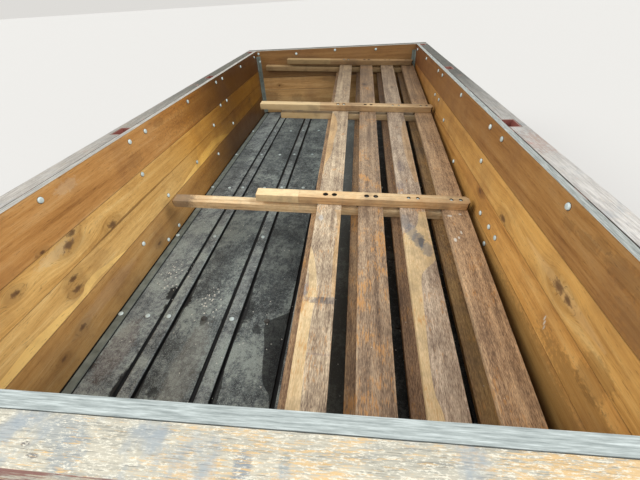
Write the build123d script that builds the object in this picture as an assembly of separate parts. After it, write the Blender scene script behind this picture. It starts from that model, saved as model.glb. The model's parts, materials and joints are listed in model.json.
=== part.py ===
from build123d import *
import os

# Load box of a timber-sided tipper trailer, in millimetres, +Z up.
# X runs across the box, +Y towards the headboard, and the box stands on its two long bearers.
# The tailboard closes the -Y end. Two slatted side racks lie in the box, their stakes to the left.

# Inside of the box
inner_width = 1500.0
inner_length = 3270.0
inner_height = 573.0

# Lining boards, and the joints between them as heights above the floor's top
board_thickness = 25.0
board_seam = 0.8
lining_lift = 4.0           # open joint between the floor and the lowest board
left_wall_joints = (178.0, 295.0, 406.0)
right_wall_joints = (178.0, 303.0, 428.0)
headboard_joints = (226.0, 339.0)
tailboard_joints = (178.0, 303.0, 428.0)

# Floor
plank_thickness = 27.0
strip_pitch = 264.0
strip_count = 5
strip_width = 51.0
strip_proud = 2.0
strip_round = 6.0
groove_width = 13.0
groove_depth = 12.0
floor_seam = 0.6
edge_strip_width = 30.0
edge_strip_thickness = 5.0
edge_strip_inset = 8.0

# Cross bearers and long bearers
cross_bearer_width = 90.0
cross_bearer_height = 70.0
head_bearer_inset = 47.0
long_bearer_height = 120.0
long_bearer_depth = 55.0
long_bearer_centres = 690.0
bearer_wall = 6.0

# Sills round the floor
sill_height = 145.0
sill_depth = 48.0
sill_wall = 6.0
rear_sill_depth = 50.0

# Top rails
rail_depth = 68.0
rail_height = 62.0
rail_edge = 3.0

# Pressed stake pockets, one sheet thickness between lining and rail
sheet = 4.0
pocket_count = 4
stake_width = 56.0
stake_thickness = 40.0
pocket_side_clearance = 10.0
pocket_back_clearance = 4.0
pocket_flange = 50.0
pocket_bend = 6.0
pocket_top_recess = 2.0
notch_clearance = 0.5
upright_width = 60.0
upright_leg = 36.0
head_upright_pitch = 378.0
head_end_upright_inset = 57.0

# Waist rails, bolted outside the lining between the uprights
waist_rail_depth = 30.0
waist_rail_height = 50.0
waist_rail_drop = 350.0
waist_rail_clearance = 1.5

# Inside corner angles at the headboard
corner_leg = 32.0
corner_wall = 3.0
corner_top_drop = 45.0
corner_foot_lift = 8.0

# Rear posts
post_depth = 105.0
post_width = 73.0
post_wall = 6.0

# Tailboard, hung from its top corners
tail_seat = 0.3
tail_side_clearance = 12.0
tail_overhang = 17.0        # how far the tailboard reaches below the floor's top
tail_angle_leg = 50.0
tail_angle_wall = 5.0
tail_upright_places = (-480.0, -160.0, 160.0, 480.0)
hinge_pin_radius = 12.0
hinge_pin_clearance = 0.08
hinge_drop = 31.0
hinge_set_back = 27.0
hinge_pin_length = 47.0
hinge_collar_radius = 16.0
hinge_collar_width = 10.0
hinge_plate = 5.0
hinge_plate_height = 90.0
hinge_strap_length = 125.0
hinge_strap_height = 50.0

# Lock shaft with its claws and lever
lock_radius = 12.0
lock_clearance = 0.08
lock_set_back = 35.0
lock_drop = 40.0            # below the tops of the cross bearers
lock_end_left = 30.0
lock_lever_gap = 8.0
lock_bearing_places = (-420.0, 0.0, 420.0)
lock_bearing_plate = 8.0
lock_bearing_edge = 16.0
claw_place = 610.0
claw_thickness = 16.0
claw_hub_radius = 26.0
claw_jaw = 14.0
claw_near_angle = 5.0       # closed claw, degrees out from upright
claw_mouth_angle = 1.0      # how far the slot is cut past the claw's near edge
claw_far_angle = 46.0
claw_open_angle = 80.0
peg_radius = 10.0
peg_clearance = 3.0
peg_set_back = 30.0
peg_rise = 75.0
peg_ear = 8.0
peg_ear_gap = 44.0
peg_ear_edge = 14.0
lever_length = 250.0
lever_width = 32.0
lever_thickness = 10.0
lever_hub_radius = 22.0
lever_tip_radius = 15.0

# Tipping pivots and ram bracket
pivot_bore_radius = 16.0
pivot_boss_radius = 30.0
pivot_boss_length = 30.0
pivot_plate = 10.0
pivot_plate_length = 120.0
pivot_plate_margin = 6.0
pivot_place = 95.0          # in from the rear end of the floor
ram_bore_radius = 15.0
ram_place = 150.0           # ahead of the middle
ram_tube_width = 80.0
ram_tube_height = 50.0
ram_tube_wall = 5.0
ram_tube_drop = 12.0
ram_ear = 12.0
ram_ear_gap = 60.0
ram_ear_depth = 46.0
ram_bore_drop = 26.0

# Side racks: slats with stakes laid across them
slat_count = 4
slat_width = 113.0
slat_pitch = 189.0
slat_thickness = 22.0
slat_end = 2.0              # slat ends past the first and last stakes
stake_head_chamfer = 13.0   # the right ends' upright edges
rack_wall_gap = 73.0        # right lining to the lower rack's near right corner
rack_tail_gap = 29.5        # tailboard's face to the same corner
rack_rise_angle = 5.92
rack_roll_angle = 2.67
rack_turn_angle = 0.40
rack_seat = 0.3
upper_rack_right = 31.0
upper_rack_back = 5.0

# Stakes of each rack, from the near end:
# (tip short of the left lining, reach past the right slat, cut off the tip's edges)
lower_stakes = ((267.0, 4.0, 2.0), (48.0, 4.0, 15.0), (405.0, 4.0, 2.0), (62.0, -4.0, 2.0))
upper_stakes = ((278.0, 4.0, 2.0), (488.0, 4.0, 2.0), (264.0, 4.0, 2.0), (277.0, -12.0, 2.0))

# Blocks under the far end of the lower rack: (slat from the right, inset from its right edge)
block_places = ((0, 2.0), (3, 30.0))
block_width = 50.0
block_depth = 90.0
block_end_gap = 196.0       # short of the far ends of the slats

# Levels
bearer_top = long_bearer_height
floor_under = bearer_top + cross_bearer_height
floor_top = floor_under + plank_thickness
wall_top = floor_top + inner_height
sill_top = bearer_top + sill_height
rail_under = wall_top - rail_height
steel_top = wall_top - pocket_top_recess

# Planes of the walls
side_face = inner_width / 2
side_back = side_face + board_thickness
rail_face = side_back + sheet
rail_back = rail_face + rail_depth
tail_end = -inner_length / 2
head_face = inner_length / 2
head_back = head_face + board_thickness
head_rail_face = head_back + sheet

# Pockets
pocket_width = stake_width + 2 * pocket_side_clearance
pocket_depth = stake_thickness + pocket_back_clearance
pocket_half = pocket_width / 2 + sheet
pocket_reach = pocket_half + pocket_flange
pocket_back = side_back + pocket_depth + sheet
pocket_pitch = (inner_length - 2 * pocket_half) / (pocket_count - 1)
pocket_places = [pocket_half - inner_length / 2 + i * pocket_pitch for i in range(pocket_count)]
upright_places = [y + pocket_pitch / 2 for y in pocket_places[:-1]]
inner_stations = sorted(pocket_places[1:-1] + upright_places)


def block(x0, x1, y0, y1, z0, z1):
    """A straight block between two corners."""
    middle = ((x0 + x1) / 2, (y0 + y1) / 2, (z0 + z1) / 2)
    return Pos(*middle) * Box(abs(x1 - x0), abs(y1 - y0), abs(z1 - z0))


def rod(radius, start, length):
    """A round bar from a point, along X."""
    return Pos(*start) * Rot(0, 90, 0) * extrude(Circle(radius), amount=length)


def flip(shape):
    """The same piece on the other side of the box."""
    return mirror(shape, about=Plane.YZ)


def both(shapes):
    """A list of pieces with their mirror images."""
    return shapes + [flip(s) for s in shapes]


def board_levels(foot, joints):
    """Lower and upper edge of each lining board, from the lowest board up."""
    lows = [foot] + [floor_top + joint for joint in joints]
    highs = [floor_top + joint - board_seam for joint in joints] + [wall_top]
    return list(zip(lows, highs))


# Floor and what carries it

def channel(width, height, wall):
    """A channel section in XZ, its back on X = 0, its foot on Z = 0, open towards -X."""
    points = [
        (0, 0), (0, height), (-width, height), (-width, height - wall),
        (-wall, height - wall), (-wall, wall), (-width, wall), (-width, 0),
    ]
    return make_face(Polyline(*points, close=True))


def lengthwise(section, start, end):
    """A section drawn in XZ, run along Y."""
    return Pos(0, start, 0) * Rot(90, 0, 0) * extrude(section, amount=start - end)


def make_long_bearers():
    back = long_bearer_centres / 2 + long_bearer_depth / 2
    section = channel(long_bearer_depth, long_bearer_height, bearer_wall)
    return both([Pos(back, 0, 0) * lengthwise(section, tail_end + sill_wall, head_back + sill_depth)])


def make_cross_bearers():
    places = inner_stations + [head_face - head_bearer_inset]
    half = cross_bearer_width / 2
    return [block(-side_back, side_back, y - half, y + half, bearer_top, floor_under) for y in places]


def strip_middles():
    return [(i - (strip_count - 1) / 2) * strip_pitch for i in range(strip_count)]


def make_floor_planks():
    middles = strip_middles()
    inner = strip_width / 2 + floor_seam
    lefts = [-side_back] + [m + inner for m in middles]
    rights = [m - inner for m in middles] + [side_back]
    planks = []
    for left, right in zip(lefts, rights):
        plank = block(left, right, tail_end, head_back, floor_under, floor_top)
        for edge, toward in ((left, 1), (right, -1)):
            if abs(edge) < side_back:
                bottom = floor_top - groove_depth
                plank -= block(edge, edge + toward * groove_width, tail_end, head_back, bottom, floor_top)
        planks.append(plank)
    return planks


def make_floor_strips():
    half = strip_width / 2
    strips = []
    for middle in strip_middles():
        strip = block(middle - half, middle + half, tail_end, head_back, floor_under, floor_top + strip_proud)
        top_edges = strip.edges().filter_by(Axis.Y).group_by(Axis.Z)[-1]
        strips.append(fillet(top_edges, strip_round))
    return strips


def make_floor_edge_strips():
    outer = side_face - edge_strip_inset
    end = head_face - corner_leg - corner_wall
    return both([block(outer - edge_strip_width, outer, tail_end, end,
                       floor_top, floor_top + edge_strip_thickness)])


def make_side_sills():
    section = mirror(channel(sill_depth, sill_height, sill_wall), about=Plane.YZ)
    return both([Pos(side_back, 0, bearer_top) * lengthwise(section, tail_end, head_face)])


def make_head_sill():
    back = block(-pocket_back, pocket_back, head_back, head_back + sill_wall, bearer_top, sill_top)
    for foot in (bearer_top, sill_top - sill_wall):
        back += block(-pocket_back, pocket_back, head_back, head_back + sill_depth, foot, foot + sill_wall)
    return [back]


def make_rear_sill():
    web = block(-side_back, side_back, tail_end, tail_end + sill_wall, bearer_top, floor_under)
    for foot in (bearer_top, floor_under - sill_wall):
        web += block(-side_back, side_back, tail_end, tail_end + rear_sill_depth, foot, foot + sill_wall)
    return [web]


# Side walls

def make_side_boards(joints):
    return [block(side_face, side_back, tail_end, head_face, low, high)
            for low, high in board_levels(floor_top + lining_lift, joints)]


def make_side_rail():
    rail = block(rail_face, rail_back, tail_end, head_face, rail_under, wall_top)
    outer_edges = rail.edges().filter_by(Axis.Y).group_by(Axis.X)[-1]
    rail = chamfer(outer_edges, rail_edge)
    half = pocket_half + notch_clearance
    for y in pocket_places:
        rail -= block(rail_face, pocket_back + notch_clearance, y - half, y + half, rail_under, wall_top)
    return [rail]


def make_pocket_stanchions():
    """Pressed hat sections. The end ones lose the flange that would run into post or headboard."""
    stanchions = []
    for y in pocket_places:
        hat = block(side_back, pocket_back, y - pocket_half, y + pocket_half, sill_top, steel_top)
        hat = fillet(hat.edges().filter_by(Axis.Z).group_by(Axis.X)[-1], pocket_bend)
        inside = block(side_back, pocket_back - sheet, y - pocket_width / 2, y + pocket_width / 2,
                       sill_top, steel_top)
        hat -= fillet(inside.edges().filter_by(Axis.Z).group_by(Axis.X)[-1], pocket_bend - sheet)
        for toward in (-1, 1):
            if abs(y + toward * pocket_reach) < inner_length / 2:
                hat += block(side_back, rail_face, y + toward * pocket_half, y + toward * pocket_reach,
                             sill_top, steel_top)
        stanchions.append(hat)
    return stanchions


def upright_bar():
    """A tee bar in its own place: flange on Y = 0, leg towards +Y, centred on X."""
    half = upright_width / 2
    flange = block(-half, half, 0, sheet, sill_top, steel_top)
    return flange + block(-sheet / 2, sheet / 2, sheet, sheet + upright_leg, sill_top, rail_under)


def make_side_uprights():
    bar = Rot(0, 0, -90) * upright_bar()
    return [Pos(side_back, y, 0) * bar for y in upright_places]


def make_waist_rails():
    stops = [(y, pocket_reach) for y in pocket_places] + [(y, upright_width / 2) for y in upright_places]
    stops.sort()
    middle = wall_top - waist_rail_drop
    rails = []
    for (y0, reach0), (y1, reach1) in zip(stops, stops[1:]):
        rails.append(block(side_back, side_back + waist_rail_depth,
                           y0 + reach0 + waist_rail_clearance, y1 - reach1 - waist_rail_clearance,
                           middle - waist_rail_height / 2, middle + waist_rail_height / 2))
    return rails


# Headboard

def make_head_boards():
    return [block(-rail_back, rail_back, head_face, head_back, low, high)
            for low, high in board_levels(floor_top + lining_lift, headboard_joints)]


def make_head_rail():
    rail = block(-rail_back, rail_back, head_rail_face, head_rail_face + rail_depth, rail_under, wall_top)
    return [chamfer(rail.edges().filter_by(Axis.X).group_by(Axis.Y)[-1], rail_edge)]


def make_head_uprights():
    end = rail_back - head_end_upright_inset
    places = (-end, -head_upright_pitch, 0, head_upright_pitch, end)
    return [Pos(x, head_back, 0) * upright_bar() for x in places]


def make_corner_angles():
    low = floor_top + corner_foot_lift
    high = wall_top - corner_top_drop
    angle = block(side_face - corner_leg, side_face, head_face - corner_wall, head_face, low, high)
    angle += block(side_face - corner_wall, side_face, head_face - corner_leg, head_face, low, high)
    return both([angle])


# Rear posts

hinge_y = tail_end - hinge_set_back
hinge_z = wall_top - hinge_drop
lock_y = tail_end - lock_set_back
lock_z = floor_under - lock_drop


def make_rear_posts():
    back = tail_end - post_depth
    outer = side_face + post_width
    post = block(side_face, outer, back, tail_end, bearer_top, steel_top)
    post -= block(side_face + post_wall, outer, back + post_wall, tail_end - post_wall,
                  bearer_top + post_wall, steel_top - post_wall)
    post -= rod(hinge_pin_radius + hinge_pin_clearance, (side_face, hinge_y, hinge_z), post_wall)
    post -= rod(lock_radius + lock_clearance, (side_face, lock_y, lock_z), post_wall)
    return both([post])


# Tailboard

tail_half = side_face - tail_side_clearance
tail_face = tail_end - tail_seat
tail_back = tail_face - board_thickness
tail_rail_back = tail_back - rail_depth
tail_foot = floor_top - tail_overhang


def make_tail_boards():
    return [block(-tail_half, tail_half, tail_back, tail_face, low, high)
            for low, high in board_levels(tail_foot, tailboard_joints)]


def make_tail_rail():
    rail = block(-tail_half, tail_half, tail_rail_back, tail_back, rail_under, wall_top)
    return [chamfer(rail.edges().filter_by(Axis.X).group_by(Axis.Y)[0], rail_edge)]


def make_tail_angle():
    """An angle that wraps the foot of the lowest board."""
    foot = tail_foot - tail_angle_wall
    back = tail_back - tail_angle_wall
    angle = block(-tail_half, tail_half, back, tail_back, foot, tail_foot + tail_angle_leg)
    return [angle + block(-tail_half, tail_half, back, tail_face, foot, tail_foot)]


def make_tail_uprights():
    """Tee bars from the foot angle to the underside of the rail, which lies against the boards."""
    half = upright_width / 2
    foot = tail_foot + tail_angle_leg
    flange_back = tail_back - sheet
    bars = []
    for x in tail_upright_places:
        bar = block(x - half, x + half, flange_back, tail_back, foot, rail_under)
        bar += block(x - sheet / 2, x + sheet / 2, flange_back - upright_leg, flange_back, foot, rail_under)
        bars.append(bar)
    return bars


def make_tail_hinges():
    """End plates with their pins, strapped round the back of the rail."""
    outer = tail_half + hinge_plate
    plate = block(tail_half, outer, tail_rail_back, tail_face, wall_top - hinge_plate_height, wall_top)
    middle = rail_under + rail_height / 2
    strap = block(outer - hinge_strap_length, outer, tail_rail_back - hinge_plate, tail_rail_back,
                  middle - hinge_strap_height / 2, middle + hinge_strap_height / 2)
    pin = rod(hinge_pin_radius, (outer, hinge_y, hinge_z), hinge_pin_length)
    collar_start = outer + hinge_pin_length - 2 * hinge_collar_width
    collar = rod(hinge_collar_radius, (collar_start, hinge_y, hinge_z), hinge_collar_width)
    return both([plate + strap + pin + collar])


peg_y = lock_y - peg_set_back
peg_z = lock_z + peg_rise


def make_lock_pegs():
    """Ears on the tailboard's angle, with the peg that each claw takes."""
    pegs = []
    for side in (-1, 1):
        x = side * claw_place
        reach = peg_ear_gap / 2 + peg_ear
        peg = rod(peg_radius, (x - reach, peg_y, peg_z), 2 * reach)
        for toward in (-1, 1):
            near = x + toward * peg_ear_gap / 2
            far = x + toward * reach
            peg += block(near, far, peg_y - peg_ear_edge, tail_back - tail_angle_wall,
                         tail_foot + tail_angle_wall, peg_z + peg_ear_edge)
        pegs.append(peg)
    return pegs


# Lock shaft

def sector(inner, outer, near_angle, far_angle, thickness):
    """A ring sector about X, its angles in degrees from upright towards the tail."""
    middle = (near_angle + far_angle) / 2
    half = (far_angle - near_angle) / 2
    past = 2 * outer            # long enough that the wedge's far side clears the ring
    wedge = make_face(Polyline(
        (0, 0), (past * sin_deg(-half), past * cos_deg(half)),
        (past * sin_deg(half), past * cos_deg(half)), close=True))
    ring = Circle(outer) - Circle(inner) if inner > 0 else Circle(outer)
    face = ring & wedge
    # drawn in XY with upright as +Y, then stood up so that drawing X runs to the tail
    solid = extrude(Rot(0, 0, -middle) * face, amount=thickness / 2, both=True)
    return Rot(0, 0, -90) * Rot(90, 0, 0) * solid


def sin_deg(angle):
    return Vector(1, 0, 0).rotate(Axis.Z, angle).Y


def cos_deg(angle):
    return Vector(1, 0, 0).rotate(Axis.Z, angle).X


def make_lock_claws():
    """Plates whose slot is a ring sector about the shaft, so a turn slides them over the pegs."""
    peg_distance = (peg_set_back ** 2 + peg_rise ** 2) ** 0.5
    peg_angle = Vector(peg_rise, peg_set_back, 0).get_angle(Vector(1, 0, 0))
    slot_half = peg_radius + peg_clearance
    slot_swing = Vector(peg_distance, slot_half, 0).get_angle(Vector(1, 0, 0))
    outer = peg_distance + slot_half + claw_jaw
    claw = sector(0, outer, claw_near_angle, claw_far_angle, claw_thickness)
    claw += rod(claw_hub_radius, (-claw_thickness / 2, 0, 0), claw_thickness)
    claw -= sector(peg_distance - slot_half, peg_distance + slot_half,
                   claw_near_angle - claw_mouth_angle, peg_angle + slot_swing, claw_thickness)
    claw -= rod(lock_radius, (-claw_thickness / 2, 0, 0), claw_thickness)
    claw = Rot(claw_open_angle, 0, 0) * claw
    return [Pos(x, lock_y, lock_z) * claw for x in (-claw_place, claw_place)]


def make_lock_shaft():
    left = side_face + lock_end_left
    right = side_face + post_width + lock_lever_gap + lever_thickness
    return [rod(lock_radius, (-left, lock_y, lock_z), left + right)]


def make_lock_lever():
    inner = side_face + post_width + lock_lever_gap
    outer = inner + lever_thickness
    half = lever_width / 2
    lever = rod(lever_hub_radius, (inner, lock_y, lock_z), lever_thickness)
    lever += block(inner, outer, lock_y - half, lock_y + half, lock_z, lock_z + lever_length)
    top_edges = lever.edges().filter_by(Axis.X).group_by(Axis.Z)[-1]
    lever = fillet(top_edges, lever_tip_radius)
    return [lever - rod(lock_radius, (inner, lock_y, lock_z), lever_thickness)]


def make_lock_bearings():
    """Plates welded to the rear sill, each with a rounded nose round the shaft."""
    nose = lock_radius + lock_bearing_edge
    bearings = []
    for x in lock_bearing_places:
        start = x - lock_bearing_plate / 2
        plate = block(start, start + lock_bearing_plate, lock_y, tail_end,
                      bearer_top, min(lock_z + nose, floor_under))
        plate += rod(nose, (start, lock_y, lock_z), lock_bearing_plate)
        bearings.append(plate - rod(lock_radius + lock_clearance, (start, lock_y, lock_z),
                                    lock_bearing_plate))
    return bearings


# Tipping pivots and ram bracket

bearer_back = long_bearer_centres / 2 + long_bearer_depth / 2
pivot_y = tail_end + pivot_place
pivot_z = long_bearer_height / 2
ram_tube_top = long_bearer_height - ram_tube_drop
ram_tube_foot = ram_tube_top - ram_tube_height
ram_bore_z = ram_tube_foot - ram_bore_drop


def make_pivot_brackets():
    half = pivot_plate_length / 2
    bracket = block(bearer_back, bearer_back + pivot_plate, pivot_y - half, pivot_y + half,
                    pivot_plate_margin, long_bearer_height - pivot_plate_margin)
    length = pivot_plate + pivot_boss_length
    bracket += rod(pivot_boss_radius, (bearer_back, pivot_y, pivot_z), length)
    return both([bracket - rod(pivot_bore_radius, (bearer_back, pivot_y, pivot_z), length)])


def make_ram_crossmember():
    reach = bearer_back - bearer_wall
    half = ram_tube_width / 2
    tube = block(-reach, reach, ram_place - half, ram_place + half, ram_tube_foot, ram_tube_top)
    return [tube - block(-reach, reach, ram_place - half + ram_tube_wall, ram_place + half - ram_tube_wall,
                         ram_tube_foot + ram_tube_wall, ram_tube_top - ram_tube_wall)]


def make_ram_ears():
    half = ram_ear_depth / 2
    near = ram_ear_gap / 2
    ear = block(near, near + ram_ear, ram_place - half, ram_place + half, ram_bore_z, ram_tube_foot)
    ear += rod(half, (near, ram_place, ram_bore_z), ram_ear)
    return both([ear - rod(ram_bore_radius, (near, ram_place, ram_bore_z), ram_ear)])


# Side racks, drawn flat with their near right corner at the origin, then laid in the box.
# The stakes stand at the pockets' own pitch.

lower_rack_place = (
    Pos(side_face - rack_wall_gap, tail_end + rack_tail_gap, floor_top + rack_seat)
    * Rot(0, 0, -rack_turn_angle) * Rot(rack_rise_angle, 0, 0) * Rot(0, rack_roll_angle, 0)
)
upper_rack_place = lower_rack_place * Pos(
    upper_rack_right, -upper_rack_back, slat_thickness + stake_thickness + rack_seat)
rack_width = (slat_count - 1) * slat_pitch + slat_width
slat_length = (pocket_count - 1) * pocket_pitch + stake_width + 2 * slat_end
stake_room = inner_width - rack_wall_gap - rack_width      # left lining to the left slat


def make_rack_slats(place):
    slats = []
    for i in range(slat_count):
        right = -i * slat_pitch
        slats.append(place * block(right - slat_width, right, 0, slat_length, 0, slat_thickness))
    return slats


def make_rack_stakes(place, ends, shift):
    """Stakes for one rack, which lies the given shift to the right of the lower rack."""
    first = slat_end + stake_width / 2
    stakes = []
    for i, (tip_gap, right_reach, tip_cut) in enumerate(ends):
        middle = first + i * pocket_pitch
        stake = block(tip_gap - stake_room - shift - rack_width, right_reach,
                      middle - stake_width / 2, middle + stake_width / 2,
                      slat_thickness, slat_thickness + stake_thickness)
        stake = chamfer(stake.faces().sort_by(Axis.X)[0].edges(), tip_cut)
        head_edges = stake.faces().sort_by(Axis.X)[-1].edges().filter_by(Axis.Z)
        stakes.append(place * chamfer(head_edges, stake_head_chamfer))
    return stakes


def make_rack_blocks():
    """Timber blocks under the two outer slats of the lower rack, cut to its slope."""
    middle = slat_length - block_end_gap - block_depth / 2
    half_x, half_y = block_width / 2, block_depth / 2
    above = lower_rack_place * block(-rack_width - block_width, block_width, 0, slat_length,
                                     -rack_seat, block_depth)
    blocks = []
    for slat, inset in block_places:
        top = lower_rack_place * Pos(-slat * slat_pitch - inset - half_x, middle, 0)
        x, y, z = top.position.X, top.position.Y, top.position.Z
        post = block(x - half_x, x + half_x, y - half_y, y + half_y, floor_top, z + half_y)
        blocks.append(post - above)
    return blocks


nodes = {
    "long_bearers": make_long_bearers(),
    "cross_bearers": make_cross_bearers(),
    "floor_planks": make_floor_planks(),
    "floor_strips": make_floor_strips(),
    "floor_edge_strips": make_floor_edge_strips(),
    "side_sills": make_side_sills(),
    "head_sill": make_head_sill(),
    "rear_sill": make_rear_sill(),
    "side_boards_right": make_side_boards(right_wall_joints),
    "side_boards_left": [flip(board) for board in make_side_boards(left_wall_joints)],
    "head_boards": make_head_boards(),
    "head_rail": make_head_rail(),
    "head_uprights": make_head_uprights(),
    "corner_angles": make_corner_angles(),
    "rear_posts": make_rear_posts(),
    "tail_boards": make_tail_boards(),
    "tail_rail": make_tail_rail(),
    "tail_angle": make_tail_angle(),
    "tail_uprights": make_tail_uprights(),
    "tail_hinges": make_tail_hinges(),
    "lock_pegs": make_lock_pegs(),
    "lock_shaft": make_lock_shaft(),
    "lock_claws": make_lock_claws(),
    "lock_lever": make_lock_lever(),
    "lock_bearings": make_lock_bearings(),
    "pivot_brackets": make_pivot_brackets(),
    "ram_crossmember": make_ram_crossmember(),
    "ram_ears": make_ram_ears(),
    "lower_rack_slats": make_rack_slats(lower_rack_place),
    "lower_rack_stakes": make_rack_stakes(lower_rack_place, lower_stakes, 0),
    "upper_rack_slats": make_rack_slats(upper_rack_place),
    "upper_rack_stakes": make_rack_stakes(upper_rack_place, upper_stakes, upper_rack_right),
    "rack_blocks": make_rack_blocks(),
}
side_nodes = {
    "side_rail": make_side_rail(),
    "pocket_stanchions": make_pocket_stanchions(),
    "side_uprights": make_side_uprights(),
    "waist_rails": make_waist_rails(),
}
for name, pieces in side_nodes.items():
    nodes[name + "_right"] = pieces
    nodes[name + "_left"] = [flip(piece) for piece in pieces]

# The origin goes to the middle of the whole part's length, at its foot
ends = [piece.bounding_box() for pieces in nodes.values() for piece in pieces]
middle_y = (min(box.min.Y for box in ends) + max(box.max.Y for box in ends)) / 2

os.makedirs("parts", exist_ok=True)
for name, pieces in nodes.items():
    solids = [solid.moved(Pos(0, -middle_y, 0)) for piece in pieces for solid in piece.solids()]
    shape = solids[0] if len(solids) == 1 else Compound(solids)
    export_step(shape, "parts/" + name + ".step")
    print(name, len(solids), "solids")
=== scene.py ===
import bpy
import json
import math
import random
from mathutils import Matrix, Vector

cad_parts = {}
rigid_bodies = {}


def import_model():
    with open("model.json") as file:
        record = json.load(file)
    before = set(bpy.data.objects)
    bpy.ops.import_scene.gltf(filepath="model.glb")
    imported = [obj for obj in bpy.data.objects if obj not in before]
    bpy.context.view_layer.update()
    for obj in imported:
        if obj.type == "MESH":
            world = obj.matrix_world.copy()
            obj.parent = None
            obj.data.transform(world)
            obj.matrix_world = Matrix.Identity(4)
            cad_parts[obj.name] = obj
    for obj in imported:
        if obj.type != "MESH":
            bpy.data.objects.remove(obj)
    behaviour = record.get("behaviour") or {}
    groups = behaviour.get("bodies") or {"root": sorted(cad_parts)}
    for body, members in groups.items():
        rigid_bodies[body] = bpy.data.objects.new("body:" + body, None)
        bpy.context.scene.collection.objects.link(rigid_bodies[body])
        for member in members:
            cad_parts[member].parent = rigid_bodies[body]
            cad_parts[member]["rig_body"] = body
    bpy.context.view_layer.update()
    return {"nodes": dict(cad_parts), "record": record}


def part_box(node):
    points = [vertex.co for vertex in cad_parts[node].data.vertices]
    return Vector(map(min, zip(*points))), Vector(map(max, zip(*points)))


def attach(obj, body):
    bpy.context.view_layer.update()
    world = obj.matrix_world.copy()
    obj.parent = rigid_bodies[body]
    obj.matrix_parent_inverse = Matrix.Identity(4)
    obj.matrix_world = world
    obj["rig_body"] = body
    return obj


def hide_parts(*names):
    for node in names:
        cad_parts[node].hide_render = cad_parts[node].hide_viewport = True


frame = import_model()
random.seed(11)
mm = 0.001

slotOf = {row["node"]: row["material_slot"] for row in frame["record"]["subparts"]}
liningLow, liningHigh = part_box("side_boards_right")
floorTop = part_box("floor_planks")[1].z
stationShift = sum(corner.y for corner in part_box("pocket_stanchions_right")) / 2
print("frame loaded")


# Working tools

def clearSelection():
    if bpy.context.mode != "OBJECT":
        bpy.ops.object.mode_set(mode="OBJECT")
    bpy.ops.object.select_all(action="DESELECT")


def choose(*pieces):
    clearSelection()
    for piece in pieces:
        piece.select_set(True)
    bpy.context.view_layer.objects.active = pieces[-1]


def editAll(piece):
    choose(piece)
    bpy.ops.object.mode_set(mode="EDIT")
    bpy.ops.mesh.select_all(action="SELECT")


def editEdges(piece, test):
    # marks the edges that pass, and goes into edit mode
    choose(piece)
    mesh = piece.data
    for group in (mesh.vertices, mesh.edges, mesh.polygons):
        group.foreach_set("select", [False] * len(group))
    for edge in mesh.edges:
        edge.select = test(edge)
    bpy.context.tool_settings.mesh_select_mode = (False, True, False)
    bpy.ops.object.mode_set(mode="EDIT")


def applyModifier(piece, kind, **settings):
    choose(piece)
    modifier = piece.modifiers.new(kind.lower(), kind)
    for key, value in settings.items():
        setattr(modifier, key, value)
    bpy.ops.object.modifier_apply(modifier=modifier.name)


def joinAs(pieces, name):
    choose(*pieces)
    if len(pieces) > 1:
        bpy.ops.object.join()
    joined = bpy.context.view_layer.objects.active
    joined.name = joined.data.name = name
    return joined


def placeCopies(source, name, places):
    # copies of one modelled piece, each with its own mesh, stood on points along directions
    copies = []
    for point, direction in places:
        copy = bpy.data.objects.new(name, source.data.copy())
        bpy.context.scene.collection.objects.link(copy)
        turn = Vector(direction).to_track_quat("Z", "Y").to_matrix().to_4x4()
        copy.matrix_world = Matrix.Translation(point) @ turn @ Matrix.Rotation(random.uniform(0, 1), 4, "Z")
        seed = copy.data.attributes.new("seed", "FLOAT", "POINT")
        seed.data.foreach_set("value", [random.random()] * len(copy.data.vertices))
        copies.append(copy)
    bpy.data.objects.remove(source)
    piece = joinAs(copies, name)
    bpy.ops.object.transform_apply(location=True, rotation=True, scale=True)
    return piece


# Node trees

modeOf = {"Math": "operation", "VectorMath": "operation", "MapRange": "interpolation_type",
          "Mix": "blend_type", "Attribute": "attribute_name"}


def srgb(code):
    parts = [int(code[i:i + 2], 16) / 255 for i in (1, 3, 5)]
    return tuple(c / 12.92 if c <= 0.04045 else ((c + 0.055) / 1.055) ** 2.4 for c in parts) + (1,)


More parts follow.
